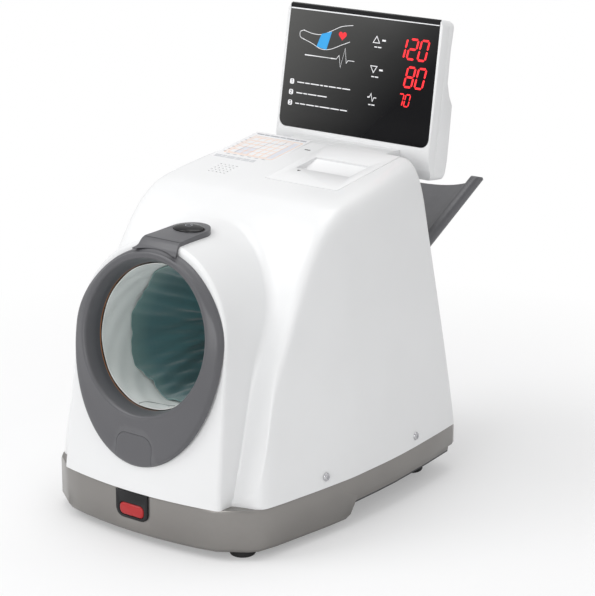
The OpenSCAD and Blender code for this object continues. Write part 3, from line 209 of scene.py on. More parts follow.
class Bench:
    """Mesh jobs that the sub-assemblies share."""

    @staticmethod
    def clear() -> None:
        """Leaves edit mode and deselects everything."""
        if bpy.context.mode != "OBJECT":
            bpy.ops.object.mode_set(mode="OBJECT")
        bpy.ops.object.select_all(action="DESELECT")

    @staticmethod
    def pick(*objects: Piece) -> None:
        """Selects these objects alone, and makes the first the active one."""
        Bench.clear()
        for obj in objects:
            obj.select_set(True)
        bpy.context.view_layer.objects.active = objects[0]

    @staticmethod
    def named(name: str) -> Piece:
        """Names the object just added, and its mesh."""
        obj = bpy.context.active_object
        obj.name = obj.data.name = name
        return obj

    @staticmethod
    def place(obj: Piece, where: Matrix) -> Piece:
        """Puts a mesh drawn in millimetres at its place in metres, its object left at the origin."""
        obj.data.transform(Matrix.Scale(MM, 4) @ where)
        obj.data.update()
        return obj

    @staticmethod
    def edit(obj: Piece, *jobs: Callable[[], object]) -> None:
        """Runs edit-mode jobs on a whole mesh."""
        Bench.pick(obj)
        bpy.ops.object.mode_set(mode="EDIT")
        bpy.ops.mesh.select_all(action="SELECT")
        for job in jobs:
            job()
        bpy.ops.object.mode_set(mode="OBJECT")

    @staticmethod
    def outwards(obj: Piece) -> None:
        """Turns the faces outwards."""
        Bench.edit(obj, lambda: bpy.ops.mesh.normals_make_consistent(inside=False))

    @staticmethod
    def sheet_form(
        name: str, across: int, along: int, form: Callable[[float, float], Sequence[float]], merge: float = 0.004,
        caps: bool = False,
    ) -> Piece:
        """Shapes a grid into a surface.

        Args:
            name: the piece.
            across: cells in the first direction.
            along: cells in the second direction.
            form: gives the point in millimetres for two numbers from 0 to 1.
            merge: distance under which points become one.
            caps: whether open ends are filled.

        Returns:
            The surface, in millimetres, its seams closed.
        """
        Bench.clear()
        bpy.ops.mesh.primitive_grid_add(x_subdivisions=across, y_subdivisions=along, size=2)
        obj = Bench.named(name)
        flat: list[float] = []
        for vertex in obj.data.vertices:
            flat.extend(form((vertex.co.x + 1) / 2, (vertex.co.y + 1) / 2))
        obj.data.vertices.foreach_set("co", flat)
        obj.data.update()
        jobs = [lambda: bpy.ops.mesh.remove_doubles(threshold=merge)]
        if caps:
            jobs.append(Bench.fill_ends)
        jobs.append(lambda: bpy.ops.mesh.select_all(action="SELECT"))
        jobs.append(lambda: bpy.ops.mesh.normals_make_consistent(inside=False))
        Bench.edit(obj, *jobs)
        return obj

    @staticmethod
    def fill_ends() -> None:
        """Fills the open ends of the mesh being edited."""
        bpy.ops.mesh.select_all(action="DESELECT")
        bpy.ops.mesh.select_non_manifold(extend=False)
        bpy.ops.mesh.edge_face_add()

    @staticmethod
    def swept(name: str, path: Sequence[Vector], r: float, sides: int, side: Callable[[Vector], Vector]) -> Piece:
        """Runs a round section along a path.

        Args:
            name: the piece.
            path: its points.
            r: radius of the section.
            sides: sides of the section.
            side: gives for a point the direction that the section starts square to.

        Returns:
            The closed tube, in millimetres.
        """
        last = len(path) - 1

        def form(u: float, v: float) -> Vector:
            i, a = round(u * last), ring_angle(v, sides)
            d = (path[min(last, i + 1)] - path[max(0, i - 1)]).normalized()
            one = d.cross(side(path[i])).normalized()
            return path[i] + r * (one * math.cos(a) + d.cross(one) * math.sin(a))

        return Bench.sheet_form(name, last, sides, form, caps=True)

    @staticmethod
    def slab(name: str, outline: Sequence[Pair], low: float, high: float) -> Piece:
        """Extrudes an outline.

        Args:
            name: the piece.
            outline: its corners in order.
            low: height of its lower face.
            high: height of its upper face.

        Returns:
            The closed slab, in millimetres.
        """
        Bench.clear()
        bpy.ops.mesh.primitive_circle_add(vertices=len(outline), radius=1, fill_type="NGON")
        obj = Bench.named(name)
        for vertex, (x, y) in zip(obj.data.vertices, outline):
            vertex.co = (x, y, low)
        Bench.edit(
            obj,
            lambda: bpy.ops.mesh.extrude_region_move(TRANSFORM_OT_translate={"value": (0, 0, high - low)}),
            lambda: bpy.ops.mesh.select_all(action="SELECT"),
            lambda: bpy.ops.mesh.normals_make_consistent(inside=False),
        )
        return obj

    @staticmethod
    def rod(name: str, r: float, low: float, high: float, steps: int = 64) -> Piece:
        """Returns a round rod along z, in millimetres."""
        Bench.clear()
        bpy.ops.mesh.primitive_cylinder_add(
            vertices=steps, radius=r, depth=high - low, location=(0, 0, (low + high) / 2))
        bpy.ops.object.transform_apply(location=True)
        return Bench.named(name)

    @staticmethod
    def block(name: str, low: Sequence[float], high: Sequence[float]) -> Piece:
        """Returns a box between two corners, in millimetres."""
        Bench.clear()
        bpy.ops.mesh.primitive_cube_add(size=1)
        obj = Bench.named(name)
        for vertex in obj.data.vertices:
            vertex.co = [low[k] if vertex.co[k] < 0 else high[k] for k in range(3)]
        return obj

    @staticmethod
    def finish_modifier(obj: Piece, kind: str, **settings: object) -> Piece:
        """Adds a modifier with these settings and applies it."""
        Bench.pick(obj)
        modifier = obj.modifiers.new(kind.lower(), kind)
        for key, value in settings.items():
            setattr(modifier, key, value)
        bpy.ops.object.modifier_apply(modifier=modifier.name)
        return obj

    @staticmethod
    def twin(obj: Piece, name: str) -> Piece:
        """Returns a copy with its own mesh."""
        copy = obj.copy()
        copy.data = obj.data.copy()
        copy.name = copy.data.name = name
        bpy.context.scene.collection.objects.link(copy)
        return copy

    @staticmethod
    def join(first: Piece, *others: Piece) -> Piece:
        """Joins meshes into the first."""
        if others:
            Bench.pick(first, *others)
            bpy.ops.object.join()
        return first

    @staticmethod
    def cut(obj: Piece, cutter: Piece, operation: str = "DIFFERENCE") -> Piece:
        """Cuts one solid with another, which is used up."""
        Bench.finish_modifier(obj, "BOOLEAN", object=cutter, operation=operation, solver="EXACT")
        bpy.data.objects.remove(cutter)
        return obj

    @staticmethod
    def soften(
        obj: Piece, width: float, steps: int = 2, angle: float = 35.0, shade: float = 40.0
    ) -> Piece:
        """Rounds the sharp edges of a mesh that is in place, and shades it smooth.

        Args:
            obj: the piece, in metres.
            width: size of the rounding, in millimetres, or 0 for none.
            steps: faces across the rounding.
            angle: edges sharper than this are rounded, in degrees.
            shade: edges sharper than this stay crisp in the shading, in degrees.

        Returns:
            The piece.
        """
        if width:
            Bench.finish_modifier(
                obj, "BEVEL", width=width * MM, segments=steps, limit_method="ANGLE",
                angle_limit=math.radians(angle), harden_normals=False, use_clamp_overlap=True, miter_outer="MITER_ARC")
        Bench.pick(obj)
        bpy.ops.object.shade_smooth_by_angle(angle=math.radians(shade))
        return obj

    @staticmethod
    def refined(node: str, width: float, steps: int, flat: float) -> Piece:
        """Makes a cleaner copy of a CAD node, with its edges rounded.

        Args:
            node: the CAD node.
            width: size of the rounding, in millimetres, or 0 for none.
            steps: faces across the rounding.
            flat: faces that turn less than this are one face, in degrees.

        Returns:
            The copy, in place.
        """
        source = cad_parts[node]
        obj = bpy.data.objects.new(node + "_made", source.data.copy())
        bpy.context.scene.collection.objects.link(obj)
        obj.data.name = obj.name
        obj.data.materials.clear()
        Bench.edit(
            obj,
            lambda: bpy.ops.mesh.customdata_custom_splitnormals_clear(),
            lambda: bpy.ops.mesh.remove_doubles(threshold=0.00001),
            lambda: bpy.ops.mesh.dissolve_limited(angle_limit=math.radians(flat)),
        )
        return Bench.soften(obj, width, steps)


# ---------------------------------------------------------------- finishes


class NodeKit:
    """Builds the node groups and wires up materials."""

    groups: dict[str, Tree] = {}

    @staticmethod
    def group(name: str, inputs: dict[str, float | None], outputs: Iterable[str]) -> tuple:
        """Starts a node group.

        Args:
            name: the effect.
            inputs: socket names with their values, None for a vector.
            outputs: socket names, all numbers.

        Returns:
            The tree, its input node and its output node.
        """
        tree = bpy.data.node_groups.new(name, "ShaderNodeTree")
        for key, value in inputs.items():
            kind = "NodeSocketVector" if value is None else "NodeSocketFloat"
            socket = tree.interface.new_socket(key, in_out="INPUT", socket_type=kind)
            if value is not None:
                socket.default_value = value
        for key in outputs:
            tree.interface.new_socket(key, in_out="OUTPUT", socket_type="NodeSocketFloat")
        NodeKit.groups[name] = tree
        return tree, tree.nodes.new("NodeGroupInput"), tree.nodes.new("NodeGroupOutput")

    @staticmethod
    def number(tree: Tree, operation: str, a: object, b: object = 0.0) -> Socket:
        """Adds a Math node on two sockets or numbers, and returns its output."""
        node = tree.nodes.new("ShaderNodeMath")
        node.operation = operation
        for socket, value in zip(node.inputs, (a, b)):
            if isinstance(value, Socket):
                tree.links.new(value, socket)
            else:
                socket.default_value = value
        return node.outputs[0]

    @staticmethod
    def noise(tree: Tree, vector: object, scale: object, detail: float = 3.0) -> Socket:
        """Adds a noise texture, and returns its value."""
        node = tree.nodes.new("ShaderNodeTexNoise")
        tree.links.new(vector, node.inputs["Vector"])
        if isinstance(scale, Socket):
            tree.links.new(scale, node.inputs["Scale"])
        else:
            node.inputs["Scale"].default_value = scale
        node.inputs["Detail"].default_value = detail
        return node.outputs["Fac"]

    @staticmethod
    def mix(tree: Tree, share: Socket, one: object, two: object) -> Socket:
        """Adds a Mix node on two colours or colour sockets, and returns its output."""
        node = tree.nodes.new("ShaderNodeMix")
        node.data_type = "RGBA"
        tree.links.new(share, node.inputs["Factor"])
        for key, value in (("A", one), ("B", two)):
            if isinstance(value, Socket):
                tree.links.new(value, node.inputs[key])
            else:
                node.inputs[key].default_value = (*value, 1)
        return node.outputs["Result"]

    @staticmethod
    def spread(
        tree: Tree, value: object, low: float, high: float, to_low: float = 0.0, to_high: float = 1.0
    ) -> Socket:
        """Adds a Map Range node from low..high, and returns its output."""
        node = tree.nodes.new("ShaderNodeMapRange")
        tree.links.new(value, node.inputs["Value"])
        for key, number in (("From Min", low), ("From Max", high), ("To Min", to_low), ("To Max", to_high)):
            node.inputs[key].default_value = number
        return node.outputs["Result"]

    @classmethod
    def build(cls) -> None:
        """Builds the shared effects: grain, wear, weave and brushing."""
        tree, source, sink = cls.group("grain", {"Vector": None, "Scale": 900.0}, ("Height", "Tone"))
        fine = cls.noise(tree, source.outputs["Vector"], source.outputs["Scale"], 4.0)
        coarse = cls.noise(tree, source.outputs["Vector"], 14.0, 2.0)
        tree.links.new(fine, sink.inputs["Height"])
        tree.links.new(cls.spread(tree, coarse, 0.3, 0.7), sink.inputs["Tone"])

        tree, source, sink = cls.group("rubbing", {"Vector": None, "Scale": 120.0}, ("Mask",))
        edge = tree.nodes.new("ShaderNodeNewGeometry").outputs["Pointiness"]
        rough = cls.noise(tree, source.outputs["Vector"], source.outputs["Scale"], 3.0)
        edge = cls.spread(tree, edge, 0.53, 0.6)
        tree.links.new(cls.number(tree, "MULTIPLY", edge, rough), sink.inputs["Mask"])

        tree, source, sink = cls.group("weave", {"Vector": None, "Threads": 900.0}, ("Height", "Tone"))
        split = tree.nodes.new("ShaderNodeSeparateXYZ")
        tree.links.new(source.outputs["Vector"], split.inputs[0])
        waves = []
        for axis in ("X", "Y"):
            phase = cls.number(tree, "MULTIPLY", split.outputs[axis], source.outputs["Threads"])
            waves.append(cls.number(tree, "SINE", phase))
        over = cls.number(tree, "MULTIPLY", waves[0], waves[1])
        thread = cls.number(tree, "ABSOLUTE", waves[0])
        height = cls.number(tree, "ADD", thread, cls.number(tree, "MULTIPLY", over, 0.6))
        tree.links.new(height, sink.inputs["Height"])
        blotch = cls.noise(tree, source.outputs["Vector"], 9.0, 4.0)
        tree.links.new(cls.spread(tree, blotch, 0.3, 0.7), sink.inputs["Tone"])

        tree, source, sink = cls.group("brushing", {"Vector": None, "Scale": 300.0}, ("Height", "Tone"))
        stretch = tree.nodes.new("ShaderNodeMapping")
        stretch.inputs["Scale"].default_value = (1.0, 12.0, 12.0)
        tree.links.new(source.outputs["Vector"], stretch.inputs["Vector"])
        lines = cls.noise(tree, stretch.outputs[0], source.outputs["Scale"], 5.0)
        tree.links.new(lines, sink.inputs["Height"])
        tree.links.new(cls.spread(tree, lines, 0.35, 0.65), sink.inputs["Tone"])


class Texture(Enum):
    """The shared effect that a finish is built on."""

    GRAIN = "grain"
    WEAVE = "weave"
    BRUSHED = "brushing"


@dataclass(frozen=True)
class Finish:
    """One finish of the monitor's surfaces."""

    name: str
    colour: Triple
    rough: float = 0.45
    texture: Texture = Texture.GRAIN
    scale: float = 1100.0
    bump: float = 0.05
    depth: float = 0.00004
    shade: float = 0.96
    spread: float = 0.05
    rubbed: float = 0.0
    metallic: float = 0.0
    coat: float = 0.0
    sheen: float = 0.0
    specular: float = 0.5
    # Emission: real light for the lit digits, painted light for printed marks.
    lit_and_painted_glow: float = 0.0
    # Painted light and shade: a colour that the base colour blends into along a direction and over a span, with random
    # patches.
    painted_light_colour: Triple | None = None
    painted_light_along: Triple = (0.0, 1.0, 0.0)
    painted_light_span: Pair = (0.0, 1.0)
    patches: float = 0.0
    on_uv: bool = False

    def coordinates(self, tree: Tree) -> Socket:
        """Returns the piece's own coordinates, or its UV map where the pattern follows the surface."""
        return tree.nodes.new("ShaderNodeTexCoord").outputs["UV" if self.on_uv else "Object"]

    def colour_socket(self, tree: Tree, tone: Socket) -> Socket:
        """Returns the base colour: a slightly darker tone in large soft patches, blended where set into a painted light
        and shade colour across the piece.
        """
        main = NodeKit.mix(tree, tone, [c * self.shade for c in self.colour], self.colour)
        if self.painted_light_colour is None:
            return main
        # Painted light and shade: the blend towards painted_light_colour across the piece.
        along = tree.nodes.new("ShaderNodeVectorMath")
        along.operation = "DOT_PRODUCT"
        tree.links.new(self.coordinates(tree), along.inputs[0])
        along.inputs[1].default_value = self.painted_light_along
        share = NodeKit.spread(tree, along.outputs["Value"], *self.painted_light_span)
        painted_light_share = NodeKit.number(tree, "ADD", share, NodeKit.number(tree, "MULTIPLY", tone, self.patches))
        return NodeKit.mix(tree, painted_light_share, main, self.painted_light_colour)

    def make(self) -> bpy.types.Material:
        """Builds the material once, and returns it."""
        known = bpy.data.materials.get("mat_" + self.name)
        if known:
            return known
        material = bpy.data.materials.new("mat_" + self.name)
        material.use_nodes = True
        tree = material.node_tree
        shader = tree.nodes["Principled BSDF"]
        vector = self.coordinates(tree)
        effect = tree.nodes.new("ShaderNodeGroup")
        effect.node_tree = NodeKit.groups[self.texture.value]
        tree.links.new(vector, effect.inputs["Vector"])
        effect.inputs[1].default_value = self.scale
        colour = self.colour_socket(tree, effect.outputs["Tone"])
        if self.rubbed:
            rub = tree.nodes.new("ShaderNodeGroup")
            rub.node_tree = NodeKit.groups["rubbing"]
            tree.links.new(vector, rub.inputs["Vector"])
            share = NodeKit.number(tree, "MULTIPLY", rub.outputs["Mask"], self.rubbed)
            colour = NodeKit.mix(tree, share, colour, [min(0.9, c * 1.6 + 0.05) for c in self.colour])
        tree.links.new(colour, shader.inputs["Base Color"])
        rough = NodeKit.spread(tree, effect.outputs["Tone"], 0, 1, self.rough, self.rough + self.spread)
        tree.links.new(rough, shader.inputs["Roughness"])
        bump = tree.nodes.new("ShaderNodeBump")
        bump.inputs["Strength"].default_value = self.bump
        bump.inputs["Distance"].default_value = self.depth
        tree.links.new(effect.outputs["Height"], bump.inputs["Height"])
        tree.links.new(bump.outputs["Normal"], shader.inputs["Normal"])
        shader.inputs["Metallic"].default_value = self.metallic
        shader.inputs["Coat Weight"].default_value = self.coat
        shader.inputs["Coat Roughness"].default_value = 0.04
        shader.inputs["Sheen Weight"].default_value = self.sheen
        shader.inputs["Specular IOR Level"].default_value = self.specular
        # Emission: the lit digits really give light; on printed marks it is painted light.
        if self.lit_and_painted_glow:
            shader.inputs["Emission Color"].default_value = (*self.colour, 1)
            shader.inputs["Emission Strength"].default_value = self.lit_and_painted_glow
        return material


WHITE = Finish("white_housing", (0.8, 0.805, 0.81), 0.34, scale=1400, bump=0.06, shade=0.975, coat=0.12)
GREY = Finish("grey_housing", (0.1, 0.1, 0.108), 0.36, scale=1500, bump=0.12, shade=0.93, rubbed=0.25, coat=0.06)
BASE_GREY = Finish(
    "base_grey", (0.27, 0.258, 0.245), 0.3, scale=1300, bump=0.1, shade=0.92, rubbed=0.3, coat=0.1, metallic=0.7)
DARK = Finish("dark_plastic", (0.022, 0.022, 0.024), 0.42, scale=1200, bump=0.1, rubbed=0.3)
MID = Finish("mid_plastic", (0.07, 0.07, 0.075), 0.5, scale=1200, bump=0.12, rubbed=0.2)
PALE = Finish("pale_plastic", (0.62, 0.62, 0.6), 0.45, scale=1200, bump=0.08)
BLACK_GLOSS = Finish("black_gloss", (0.006, 0.006, 0.007), 0.2, scale=1600, bump=0.02, specular=0.35)
# The glass is black; its blend to grey towards the upper left is a painted reflection on the side that the key lamp
# lights.
LENS = Finish(
    "lens", (0.004, 0.004, 0.005), 0.22, scale=300, bump=0.0, spread=0.04, specular=0.16, painted_light_colour=(0.1, 0.1, 0.097),
    painted_light_along=(-0.7, 0.0, 0.7), painted_light_span=(0.225, 0.4))
RED = Finish("red_button", (0.42, 0.008, 0.01), 0.3, scale=1400, bump=0.05, coat=0.1, shade=0.9)
RUBBER = Finish("foot_rubber", (0.016, 0.016, 0.016), 0.7, scale=1800, bump=0.25, rubbed=0.2)
PLATEN = Finish("platen_rubber", (0.03, 0.03, 0.03), 0.6, scale=1800, bump=0.2)
HOSE = Finish("hose_rubber", (0.03, 0.03, 0.032), 0.45, scale=1500, bump=0.12)
BLADDER = Finish("bladder_rubber", (0.05, 0.06, 0.065), 0.6, scale=900, bump=0.3, sheen=0.1)
PLATE = Finish("plate_steel", (0.05, 0.05, 0.055), 0.5, scale=1100, bump=0.15, metallic=0.2, rubbed=0.4)
BRACKET = Finish(
    "bracket_steel", (0.56, 0.56, 0.57), 0.32, Texture.BRUSHED, scale=260, bump=0.15, metallic=1.0, shade=0.85)
SCREW = Finish("screw_steel", (0.6, 0.6, 0.62), 0.24, Texture.BRUSHED, scale=400, bump=0.1, metallic=1.0, shade=0.9)
SHAFT = Finish("shaft_steel", (0.62, 0.62, 0.63), 0.2, Texture.BRUSHED, scale=300, bump=0.1, metallic=1.0, shade=0.9)
PORT = Finish("port_steel", (0.66, 0.66, 0.68), 0.12, scale=600, bump=0.03, metallic=1.0)
MOTOR = Finish("motor_steel", (0.5, 0.5, 0.51), 0.3, Texture.BRUSHED, scale=240, bump=0.15, metallic=1.0, shade=0.85)
BRASS = Finish("pinion_brass", (0.72, 0.5, 0.2), 0.25, Texture.BRUSHED, scale=300, bump=0.15, metallic=1.0, shade=0.85)
ALLOY = Finish("head_alloy", (0.6, 0.6, 0.62), 0.35, Texture.BRUSHED, scale=240, bump=0.15, metallic=1.0, shade=0.88)
BOARD = Finish("circuit_board", (0.02, 0.15, 0.07), 0.35, scale=500, bump=0.2, shade=0.7, coat=0.2)
PAD = Finish("pad_soft", (0.07, 0.07, 0.08), 0.65, scale=1600, bump=0.4, sheen=0.15, rubbed=0.2)
PAPER = Finish("paper", (0.88, 0.88, 0.86), 0.75, scale=1500, bump=0.15)
BELT = Finish("belt_cloth", (0.025, 0.025, 0.03), 0.7, Texture.WEAVE, scale=4200, bump=0.5, depth=0.0002, sheen=0.3)
TRIM = Finish("trim_cord", (0.42, 0.16, 0.05), 0.6, scale=1500, bump=0.4, sheen=0.2, shade=0.8)
SEAM = Finish("seam_thread", (0.22, 0.24, 0.24), 0.7, scale=1500, bump=0.4, sheen=0.2, shade=0.8)
DIGITS = Finish("red_digits", (0.92, 0.018, 0.025), 0.4, lit_and_painted_glow=1.0)
MODULE = Finish("digit_face", (0.012, 0.004, 0.005), 0.3, scale=600)
# The glow on these printed marks is painted light: ink gives no light.
PRINT_WHITE = Finish("print_white", (0.8, 0.8, 0.82), 0.5, lit_and_painted_glow=0.12)
PRINT_GREY = Finish("print_grey", (0.35, 0.36, 0.4), 0.5)
PRINT_LILAC = Finish("print_lilac", (0.7, 0.71, 0.76), 0.5)
PRINT_ORANGE = Finish("print_orange", (0.85, 0.5, 0.3), 0.5)
LABEL = Finish("chart_paper", (0.82, 0.82, 0.83), 0.4, scale=1500, bump=0.04, coat=0.1)
MESH_CLOTH = Finish(
    "pale_mesh", (0.88, 0.92, 0.9), 0.8, Texture.WEAVE, scale=5200, bump=0.35, depth=0.00025, shade=0.9, sheen=0.3,
    on_uv=True)
# The cloth is teal; its pale mint front edge is painted light near the tunnel's mouth, and its blend to deep teal
# further in is painted shade.
TEAL_CLOTH = Finish(
    "teal_cloth", (0.3, 0.47, 0.43), 0.8, Texture.WEAVE, scale=5600, bump=0.4, depth=0.0003, shade=0.7, sheen=0.5,
    painted_light_colour=(0.075, 0.2, 0.215), painted_light_span=(0.036, 0.085), patches=0.35, on_uv=True)
# The glow on these printed marks is painted light: ink gives no light.
PRINT_BLUE = Finish("print_blue", (0.03, 0.35, 0.75), 0.5, lit_and_painted_glow=0.1)
PRINT_RED = Finish("print_red", (0.8, 0.02, 0.03), 0.5, lit_and_painted_glow=0.25)

DRESS: dict[str, Finish] = {node: finish for finish, nodes in (
    (BASE_GREY, "base_tray"),
    (PLATE, "bottom_plate"),
    (SCREW, "bottom_screws side_screws display_screws"),
    (WHITE, "main_cover printer_lid display_housing display_back display_bracket"),
    (RUBBER, "foot_front_left foot_front_right foot_rear_left foot_rear_right"),
    (MID, "rear_panel exit_shroud exhaust_valve printer_bucket"),
    (DARK, "power_inlet switch_frame start_switch speaker"),
    (BLACK_GLOSS, "power_switch start_button emergency_plate"),
    (PORT, "data_ports"),
    (GREY, "cuff_ring bib_insert button_bridge arm_rest"),
    (TRIM, "liner_trim"),
    (PALE, "cuff_drum"),
    (BLADDER, "cuff_bladder"),
    (BELT, "cuff_belt cuff_liner"),
    (SHAFT, "belt_roller hinge_pin"),
    (BRACKET, "roller_bracket power_supply"),
    (BRASS, "motor_pinion"),
    (MOTOR, "cuff_motor air_pump"),
    (RED, "emergency_button"),
    (BOARD, "emergency_switch elbow_switch pressure_board main_board display_board"),
    (PAD, "elbow_pad"),
    (HOSE, "air_hose"),
    (ALLOY, "print_head"),
    (PLATEN, "platen_roller"),
    (PAPER, "paper_roll chart_label"),
    (LENS, "display_lens"),
    (MODULE, "digit_modules"),
) for node in nodes.split()}


def dress(piece: Piece, finish: Finish, body: str, *nodes: str, slot: str = "") -> Piece:
    """Gives a piece its finish and body, and hides the CAD nodes that it stands for.

    Args:
        piece: the finished mesh.
        finish: its finish all over.
        body: the CAD body that it moves with.
        nodes: the CAD nodes that are then hidden.
        slot: a material slot name, where the finish isn't named after it; not used.

    Returns:
        The piece.
    """
    piece.data.materials.clear()
    piece.data.materials.append(finish.make())
    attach(piece, body)
    if nodes:
        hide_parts(*nodes)
    LOG.info("%s on %s: %d faces", piece.name, body, len(piece.data.polygons))
    return piece


def dress_refined(node: str, width: float, steps: int = 2, body: str = "monitor", flat: float = 1.0) -> None:
    """Makes a cleaner copy of a CAD node with rounded edges, in the node's own finish."""
    dress(Bench.refined(node, width, steps, flat), DRESS[node], body, node)


def dress_cad_nodes() -> None:
    """Gives every CAD node its finish, so that whatever stays in view is dressed."""
    for name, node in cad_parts.items():
        finish = DRESS[name].make()
        if node.data.materials:
            for index in range(len(node.data.materials)):
                node.data.materials[index] = finish
        else:
            node.data.materials.append(finish)


# ---------------------------------------------------------------- housing


@dataclass
class Cover:
    """The white moulded cover: a nose for the arm tunnel blended into a flared body."""

    wall: float = 3.0
    side_draw: float = 27.0
    nose_r: float = 93.0
    nose_flare: float = 5.0
    nose_bow: float = 10.5
    bow_reach: float = 45.0
    bow_height: float = 150.0
    nose_edge: float = 4.5
    rear_edge: float = 13.0
    plan: tuple[Pair, ...] = (
        (-19.5, 90), (3, 95), (8, 108), (12, 121.5), (19, 126.5), (40, 131), (67, 134.5), (107, 139), (150, 142),
        (185, 142), (218, 141), (277, 136), (337, 129))
    rise: tuple[Pair, ...] = (
        (-19.5, 0.3), (3, 0.3), (8, 8), (12, 22), (18, 47), (30, 114), (44, 146), (57, 173), (70, 198), (84, 219),
        (98, 235), (118, 250), (140, 259), (179, 265), (337, 281.8))
    nose_rise: tuple[Pair, ...] = ((-19.5, 235.5), (59, 236), (98, 238), (140, 240), (337, 240))
    draw_height: float = 270.0
    draw_end: float = 290.0
    draw_power: float = 1.3
    squareness: float = 26.0
    steps: int = 26
    cap_steps: int = 8
    tunnel_r: float = 82.5
    way_out: tuple[float, ...] = (90.3, 217.0, 226.0, 64.3)
    rest_gap: float = 0.3
    well: Triple = (89.6, 110.6, 3.3)
    well_at: Pair = (41.0, 59.0)
    panel: Pair = (46.3, 27.3)
    screw_ys: Pair = (102.0, 248.0)
    screw_up: float = 11.0
    screw_r: float = 2.4
    sound_at: Pair = (-60.0, 8.0)
    sound_step: float = 5.0
    seat: Pair = (18.0, 13.0)

    def draw_in(self, h: float) -> float:
        """Returns how far the side stands in at a height."""
        return self.side_draw * (max(0.0, min(h, self.draw_end)) / self.draw_height) ** self.draw_power

    def side_x(self, w: float, a: float) -> float:
        """Returns the half-width that a ray at angle a meets."""
        slope = math.tan(min(a, 1.5707))
        return w - self.draw_in((w - self.draw_in(w * slope)) * slope)

    def reach(self, y: float, a: float, inset: float) -> float:
        """Returns how far the cover reaches along a ray.

        Args:
            y: the section.
            a: the ray's angle from the base joint, folded to a quarter turn.
            inset: how far inside the outer surface.

        Returns:
            The distance from the middle of the base joint.
        """
        w, h, p = blend_tables(self.plan, y) - inset, max(0.3, blend_tables(self.rise, y) - inset), self.squareness
        body = ((math.cos(a) / self.side_x(w, a)) ** p + (math.sin(a) / h) ** p) ** (-1 / p)
        r = self.nose_r - inset
        mid = blend_tables(self.nose_rise, y) - self.nose_r
        climb = r * math.tan(min(a, 1.5707))
        if climb < mid:
            nose = (r + self.nose_flare * max(0.0, 1 - climb / mid)) / math.cos(a)
        else:
            nose = mid * math.sin(a) + math.sqrt(max(0.0, r * r - (mid * math.cos(a)) ** 2))
        k = (9 + 17 * math.cos(a)) * max(0.02, min(1.0, (y - 2) / 18))
        return max(nose, body) + max(0.0, k - abs(nose - body)) ** 2 / (4 * k)

    def end_round(self, y: float, inset: float) -> float:
        """Returns how much a section shrinks in the rounding of the front or rear edge."""
        out = 0.0
        for d, r in ((y - PLACES.front_y, self.nose_edge), (PLACES.back_y - y, self.rear_edge)):
            d, r = d - inset, r - inset
            if d < r:
                out += r - math.sqrt(max(0.0, r * r - (r - d) ** 2))
        return out

    def stations(self, inset: float) -> list[Pair]:
        """Returns the sections as their distance back and how full they are, the flat ends included."""
        front, back = PLACES.front_y + inset, PLACES.back_y - inset
        nose, rear = self.nose_edge - inset, self.rear_edge - inset
        out = [(front, s / self.cap_steps) for s in range(self.cap_steps)]
        out += [(front + nose * (1 - math.cos(math.radians(15 * k))), 1.0) for k in range(6)]
        y = front + nose
        while y < back - rear - 1:
            out.append((y, 1.0))
            y += 1.5 if y < 30 else 2.2 if y < 150 else 5.0
        out += [(back - rear * (1 - math.cos(math.radians(10 * k))), 1.0) for k in range(9, -1, -1)]
        out += [(back, s / self.cap_steps) for s in range(self.cap_steps - 1, -1, -1)]
        return out

    def angles(self, y: float) -> list[float]:
        """Returns the rays of one half of a section, in degrees, closer together at the ridge."""
        corner = max(3.0, math.degrees(math.atan2(
            blend_tables(self.rise, y), self.side_x(blend_tables(self.plan, y), math.radians(40)) - 6)))
        top = max(56.0, corner + 5)
        shares = [i / self.steps for i in range(self.steps + 1)]
        out = [corner * (1 - (1 - share) ** 1.6) for share in shares[:-1]]
        out += [corner + (top - corner) * share for share in shares[:-1]]
        return out + [top + (90 - top) * share for share in shares]

    def skin(self, name: str, inset: float, drop: float) -> Piece:
        """Returns the closed form of the cover, in place.

        Args:
            name: the form.
            inset: how far inside the outer surface.
            drop: how far it is let down.
        """
        stations = self.stations(inset)
        rays = []
        for y, _ in stations:
            half = self.angles(y)
            rays.append(half + [180 - a for a in reversed(half[:-1])])
        last, count = len(stations) - 1, len(rays[0]) - 1

        def form(u: float, v: float) -> Vector:
            i, j = round(u * last), round(v * count)
            y, full = stations[i]
            a = math.radians(rays[i][j])
            folded = math.pi - a if a > math.pi / 2 else a
            r = (self.reach(y, folded, inset) - self.end_round(y, inset)) * full
            x, h = r * math.cos(a), r * math.sin(a)
            bow = self.nose_bow * (x / 95) ** 2 * max(0.0, 1 - (y - PLACES.front_y) / self.bow_reach)
            bow *= max(0.0, 1 - h / self.bow_height)
            return Vector((x, y + h * PLACES.lean(y) + bow, PLACES.base_top + h - drop))

        return Bench.place(Bench.sheet_form(name, last, count, form, merge=0.01, caps=True), PLACES.front)

    def build(self) -> Piece:
        """Builds the cover with its openings, and returns a copy of its closed outer form."""
        obj = self.skin("cover_shell", 0.0, 0.0)
        closed = Bench.twin(obj, "tool_form")
        Bench.cut(obj, self.skin("tool_inner", self.wall, 0.4))
        self.cut_openings(obj)
        Bench.soften(obj, 0, shade=38)
        dress(obj, WHITE, "monitor", "main_cover")
        return closed

